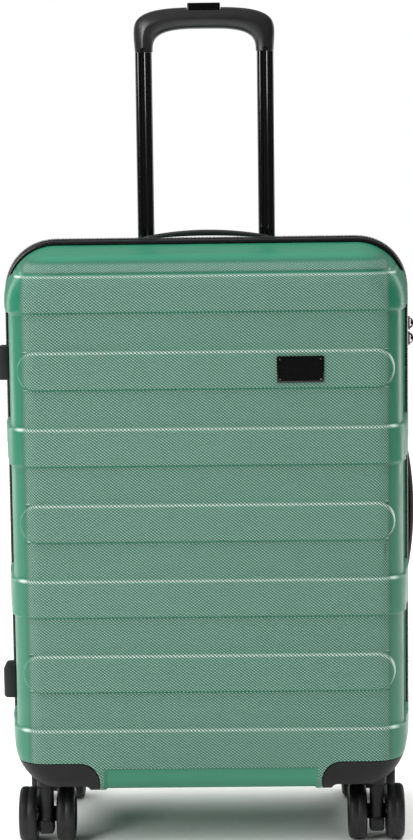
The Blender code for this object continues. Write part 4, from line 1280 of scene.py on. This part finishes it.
def makeFoot(node):
    low, high = (Vector(v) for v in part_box(node))
    bm = blockMesh(low, high)
    outer = [e for e in bm.edges if all(abs(v.co.x - low.x) < 1e-6 for v in e.verts)]
    bevel(bm, outer, foot["rounding"], 6)
    obj = toObject(bm, node + "_bumper")
    edge = obj.modifiers.new("edge", "BEVEL")
    edge.width = foot["edge"]
    edge.segments = 2
    edge.limit_method = "ANGLE"
    edge.angle_limit = math.radians(40)
    settle(obj)
    grooves = []
    for step in (-1, 0, 1):
        z = (low.z + high.z) / 2 + step * 0.0065
        grooves.append(block("groove", (low.x - 0.002, low.y + 0.006, z - 0.0009),
                             (low.x + 0.0007, high.y - 0.006, z + 0.0009)))
    return carve(obj, grooves)


for half in ("front", "rear"):
    for word in ("upper", "lower"):
        node = "side_foot_%s_%s" % (half, word)
        fit(makeFoot(node), "wheel", "black_plastic", half + "_half", node, sharp=40)


def makeBadge():
    low, high = (Vector(v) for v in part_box("badge"))
    slab = block("badge_slab", low, high, 0.0007, 4)
    field = block("field", (low.x + 0.0022, low.y - 0.002, low.z + 0.0022),
                  (high.x - 0.0022, low.y + 0.0004, high.z - 0.0022))
    carve(slab, [field])
    paint(slab, "plate")
    parts = [slab]
    for x in (low.x + 0.0034, high.x - 0.0034):
        for z in (low.z + 0.0034, high.z - 0.0034):
            pin = rod("pin", 0.0007, (x, low.y - 0.0001, z), (x, low.y + 0.001, z), 20)
            parts.append(paint(pin, "steel"))
    return gather("badge_plate", parts)


fit(makeBadge(), None, "badge_plate", "front_half", "badge", sharp=35)

lock = {"dialRadius": 0.0060, "notches": 20, "figureHigh": 0.0030}


def makeDial(number):
    node = "lock_dial_%d" % number
    low, high = (Vector(v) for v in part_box(node))
    centre = (low + high) / 2
    half = (high.z - low.z) / 2
    radius = lock["dialRadius"]
    rings = []
    for z, share in ((-half, 0.90), (-half + 0.0004, 1.0), (half - 0.0004, 1.0), (half, 0.90)):
        ring = []
        for step in range(lock["notches"] * 4):
            angle = 2 * math.pi * step / (lock["notches"] * 4)
            dip = 0.00022 if step % 8 == 4 else 0.0
            ring.append(centre + Vector(((radius * share - dip) * math.cos(angle),
                                         (radius * share - dip) * math.sin(angle), z)))
        rings.append(ring)
    drum = loft("drum", rings)
    parts = [paint(drum, "plastic")]
    for figure in range(10):
        text = bpy.data.curves.new("figure", "FONT")
        text.body = str(figure)
        text.size = lock["figureHigh"]
        text.align_x = "CENTER"
        text.align_y = "CENTER"
        text.extrude = 0.00003
        holder = bpy.data.objects.new("figure", text)
        bpy.context.scene.collection.objects.link(holder)
        bpy.context.view_layer.update()
        graph = bpy.context.evaluated_depsgraph_get()
        mesh = bpy.data.meshes.new_from_object(holder.evaluated_get(graph))
        bpy.data.objects.remove(holder, do_unlink=True)
        angle = 2 * math.pi * figure / 10
        outward = Matrix.Translation((radius + 0.00004, 0, 0)) @ Matrix.Rotation(math.pi / 2, 4,
                                                                                 "Z") @ Matrix.Rotation(math.pi / 2, 4, "X")
        mesh.transform(Matrix.Translation(centre) @ Matrix.Rotation(angle, 4, "Z") @ outward)
        ink = bpy.data.objects.new("ink", mesh)
        bpy.context.scene.collection.objects.link(ink)
        parts.append(paint(ink, "ink"))
    return gather("lock_dial_%d_figures" % number, parts)


def makeLockHousing():
    low, high = (Vector(v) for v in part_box("lock_housing"))
    plateBlock = block("lock_face", (high.x - 0.0079, low.y, low.z), high, 0.0011, 4)
    body = block("lock_body", (low.x, low.y + 0.004, low.z + 0.004),
                 (high.x - 0.005, high.y - 0.004, high.z - 0.004))
    carve(plateBlock, [body], "UNION")
    tools = []
    for number in (1, 2, 3):
        dialLow, dialHigh = (Vector(v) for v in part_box("lock_dial_%d" % number))
        centre = (dialLow + dialHigh) / 2
        tools.append(rod("dial_room", lock["dialRadius"] + 0.0005, (centre.x, centre.y, dialLow.z - 0.0003),
                         (centre.x, centre.y, dialHigh.z + 0.0003)))
    buttonLow, buttonHigh = (Vector(v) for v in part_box("lock_button"))
    tools.append(block("button_room", (high.x - 0.0020, buttonLow.y - 0.0003, buttonLow.z - 0.0043),
                       (high.x + 0.004, buttonHigh.y + 0.0003, buttonHigh.z + 0.0003), 0.0006))
    for z in (high.z - 0.010, high.z - 0.0165):
        tools.append(block("pull_slot", (high.x - 0.003, low.y + 0.0015, z - 0.0011),
                           (high.x + 0.002, low.y + 0.0075, z + 0.0011), 0.0005))
    return carve(plateBlock, tools)


fit(makeLockHousing(), "plastic", "black_plastic", "rear_half", "lock_housing", sharp=35)
for number in (1, 2, 3):
    fit(makeDial(number), None, "black_plastic", "dial_%d" % number, "lock_dial_%d" % number, sharp=30)
buttonLow, buttonHigh = (Vector(v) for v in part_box("lock_button"))
fit(block("lock_release_key", buttonLow, buttonHigh, 0.0007, 4), "steel", "zip_metal", "lock_release",
    "lock_button")

slider = {"bridge": 0.0048, "inner": 0.0036, "halfWide": 0.0011}


def makeSlider(word, up):
    low, high = (Vector(v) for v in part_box("zip_slider_" + word))
    x = low.x
    z = (low.z + high.z) / 2
    base = block("slider", (x, -0.0042, low.z), (x + 0.0014, 0.0042, high.z), 0.0006, 3)
    base.data.transform(Matrix.Translation((0, 0, 0)))
    rings = []
    for step in range(21):
        angle = math.pi * step / 20
        outer = Vector((x + 0.0008 + slider["bridge"] * math.sin(angle), 0, z + 0.0062 * math.cos(angle)))
        inner = Vector((x + 0.0008 + slider["inner"] * math.sin(angle), 0,
                        z + up * 0.0006 + 0.0044 * math.cos(angle)))
        centre = (outer + inner) / 2
        across = (outer - inner) / 2
        ring = []
        for turn in range(10):
            angle = 2 * math.pi * turn / 10
            ring.append(centre + across * math.cos(angle) + Vector((0, slider["halfWide"] * math.sin(angle),
                                                                    0)))
        rings.append(ring)
    bridge = loft("bridge", rings)
    return gather("slider_casting_" + word, [base, bridge])


def makePull(word):
    low, high = (Vector(v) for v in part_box("zip_pull_" + word))
    joint = [j for j in frame["joints"] if j["name"] == "zip_pull_turn_" + word][0]
    x, y, z = joint["pos_m"]
    profile = []
    for turn in range(14):
        angle = 2 * math.pi * turn / 14
        profile.append((0.0022 + 0.0003 * math.cos(angle), 0.0012 * math.sin(angle)))
    eye = turned("eye", profile, (0, 0, 0), 32)
    eye.data.transform(Matrix.Translation((x, y, z)) @ Matrix.Rotation(math.pi / 2, 4, "Y"))
    tab = blockMesh((x - 0.0008, y + 0.0022, z - 0.0028), (x + 0.0008, high.y, z + 0.0028))
    corners = [e for e in tab.edges if abs(e.verts[0].co.x - e.verts[1].co.x) > 0.001]
    bevel(tab, corners, 0.0018, 5)
    tab = toObject(tab, "tab")
    window = block("window", (x - 0.002, high.y - 0.0060, z - 0.0013),
                   (x + 0.002, high.y - 0.0022, z + 0.0013), 0.0008)
    carve(tab, [window])
    edge = tab.modifiers.new("edge", "BEVEL")
    edge.width = 0.0003
    edge.segments = 2
    edge.limit_method = "ANGLE"
    settle(tab)
    return gather("pull_tag_" + word, [eye, tab])


for word, up in (("upper", 1), ("lower", -1)):
    fit(makeSlider(word, up), "grip", "zip_metal", "slider_" + word, "zip_slider_" + word, sharp=40)
    fit(makePull(word), "grip", "zip_metal", "pull_" + word, "zip_pull_" + word, sharp=40)
print("small pieces made")


# Inside: linings, divider, straps and the strip along the hinge

lining = {
    "halfWidth": 0.1995, "span": (0.0965, 0.641), "rimY": 0.0062, "corner": 0.045, "edge": 0.025,
    "frontY": 0.1255, "rearY": 0.078, "thick": 0.0009, "wrinkle": 0.0010, "flange": 0.0165,
}


def ripple(point, size):
    # smooth unevenness from a few crossing waves
    value = math.sin(point.x / size + 1.7 * math.sin(point.z / size * 0.7))
    value += math.sin(point.z / size * 1.3 + 2.1 * math.sin(point.y / size + point.x / size * 0.4))
    value += math.sin((point.x + point.z) / size * 0.6 + point.y / size * 1.9)
    return value / 3


def makeLining(side, depth, name):
    bm = tub(side, 0.0, lining["rimY"], depth, lining["edge"], lining["halfWidth"], lining["span"],
             lining["corner"], (10, 8))
    openRim(bm, side, lining["rimY"])
    for number in range(1, 34):
        cutPlane(bm, (0, 0, lining["span"][0] + (lining["span"][1] - lining["span"][0]) * number / 34),
                 (0, 0, 1))
    for number in range(1, 25):
        cutPlane(bm, (lining["halfWidth"] * (2 * number / 25 - 1), 0, 0), (1, 0, 0))
    for number in range(1, 6):
        cutPlane(bm, (0, side * (lining["rimY"] + (depth - lining["edge"] - lining["rimY"]) * number / 6),
                      0), (0, 1, 0))
    bm.normal_update()
    moves = []
    for vert in bm.verts:
        if abs(abs(vert.co.y) - lining["rimY"]) > 1e-5:
            moves.append((vert, vert.normal * (ripple(vert.co, 0.017) - 1.0) * lining["wrinkle"]))
    for vert, move in moves:
        vert.co += move
    rimEdges = [e for e in bm.edges if e.is_boundary]
    flange = bmesh.ops.extrude_edge_only(bm, edges=rimEdges)
    centre = Vector((0, 0, (case["top"] + case["bottom"]) / 2))
    for vert in [v for v in flange["geom"] if isinstance(v, bmesh.types.BMVert)]:
        away = vert.co - centre
        vert.co.x += math.copysign(lining["flange"], away.x)
        vert.co.z += lining["flange"] if away.z > 0 else -0.0185
    bmesh.ops.recalc_face_normals(bm, faces=bm.faces)
    obj = toObject(bm, name)
    wall = obj.modifiers.new("cloth", "SOLIDIFY")
    wall.thickness = lining["thick"]
    wall.offset = -1.0
    return settle(obj)


def makeLiningPiece(side, half, depth):
    obj = makeLining(side, depth, half + "_lining_cloth")
    fit(obj, "lining", "lining", half + "_half", half + "_lining", sharp=60)
    width = 2 * lining["halfWidth"] + 2 * depth - 0.02
    height = lining["span"][1] - lining["span"][0] + 2 * depth - 0.02
    return obj, width, height


frontCloth, frontWide, frontHigh = makeLiningPiece(-1, "front", lining["frontY"])
rearCloth, rearWide, rearHigh = makeLiningPiece(1, "rear", lining["rearY"])


def clothArea(obj):
    # one side's area of a thin closed sheet
    return sum(face.area for face in obj.data.polygons) / 2


for cloth, wide, high in ((frontCloth, frontWide, frontHigh), (rearCloth, rearWide, rearHigh)):
    print(cloth.name, "area", round(clothArea(cloth), 4), "of", round(wide * high, 4))

divider = {"corner": 0.043}


def makeDivider():
    low, high = (Vector(v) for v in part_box("divider_panel"))
    bm = blockMesh(low, high)
    upright = [e for e in bm.edges if abs(e.verts[0].co.y - e.verts[1].co.y) > 0.0001]
    bevel(bm, upright, divider["corner"], 12)
    for number in range(1, 30):
        cutPlane(bm, (0, 0, low.z + (high.z - low.z) * number / 30), (0, 0, 1))
    for number in range(1, 22):
        cutPlane(bm, (low.x + (high.x - low.x) * number / 22, 0, 0), (1, 0, 0))
    for vert in bm.verts:
        inside = min(high.x - abs(vert.co.x), vert.co.z - low.z, high.z - vert.co.z)
        vert.co.y += 0.0007 * ripple(vert.co, 0.03) * ease(inside / 0.05)
    return toObject(bm, "divider_cloth")


dividerCloth = fit(makeDivider(), "lining", "lining", "front_half", "divider_panel", sharp=60)

straps = {"reach": (0.170, 0.235), "wide": 0.025, "thick": 0.0013, "y": 0.0105, "z": 0.368}


def makeStraps():
    # two crossing webbing straps; their buckle is made apart, by makeBuckle
    reach = math.hypot(*straps["reach"])
    lean = math.atan2(straps["reach"][1], straps["reach"][0])
    spot = Vector((0, straps["y"], straps["z"]))
    parts = []
    for turn, lift in ((lean, 0.0), (-lean, 0.0010)):
        rings = []
        for step in range(41):
            share = -1 + step / 20
            dip = lift * ease((0.12 - abs(share)) / 0.08)
            half = straps["wide"] / 2
            thick = straps["thick"] / 2
            ring = []
            for across, up in ((-1, -0.6), (-0.96, -1), (0.96, -1), (1, -0.6), (1, 0.6), (0.96, 1),
                               (-0.96, 1), (-1, 0.6)):
                ring.append(Vector((reach * share, thick * up - dip, half * across)))
            rings.append(ring)
        strap = loft("strap", rings)
        strap.data.transform(Matrix.Translation(spot) @ Matrix.Rotation(turn, 4, "Y"))
        parts.append(paint(strap, "webbing"))
    return gather("crossed_packing_straps", parts)


def makeBuckle():
    y = straps["y"] - 0.0025
    z = straps["z"]
    body = block("buckle_body", (-0.030, y - 0.0035, z - 0.0165), (0.030, y + 0.0012, z + 0.0165), 0.0022, 4)
    tools = []
    for side in (-1, 1):
        low, high = sorted((side * 0.013, side * 0.024))
        tools.append(block("window", (low, y - 0.006, z - 0.0105), (high, y - 0.0018, z + 0.0105), 0.0016))
    carve(body, tools)
    return body


fit(makeStraps(), None, "webbing", "rear_half", "packing_straps", sharp=40)
buckle = makeBuckle()
buckle.name = "strap_buckle"
fit(buckle, "plastic", "black_plastic", "rear_half", sharp=40)


def makeHingeStrip():
    low, high = (Vector(v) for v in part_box("hinge_tape"))
    x = (low.x + high.x) / 2
    rows = 13
    columns = 60
    thick = 0.0006
    rings = []
    for column in range(columns + 1):
        z = low.z + (high.z - low.z) * column / columns
        front = [Vector((x - thick, -high.y + 2 * high.y * row / rows, z)) for row in range(rows + 1)]
        back = [Vector((x + thick, -high.y + 2 * high.y * row / rows, z)) for row in range(rows, -1, -1)]
        rings.append(front + back)
    return loft("hinge_strip", rings)


strip = paint(makeHingeStrip(), "tape")
strip.data.shade_smooth()
strip.data.set_sharp_from_angle(angle=math.radians(60))
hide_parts("hinge_tape")
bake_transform(strip)
print("inside made")


# Frame nodes that keep their own shape

kept = {
    "trolley_base": "plastic", "outer_tube_left": "steel", "outer_tube_right": "steel", "lock_yoke": "steel",
}
for node, finish in kept.items():
    paint(frame["nodes"][node], finish)
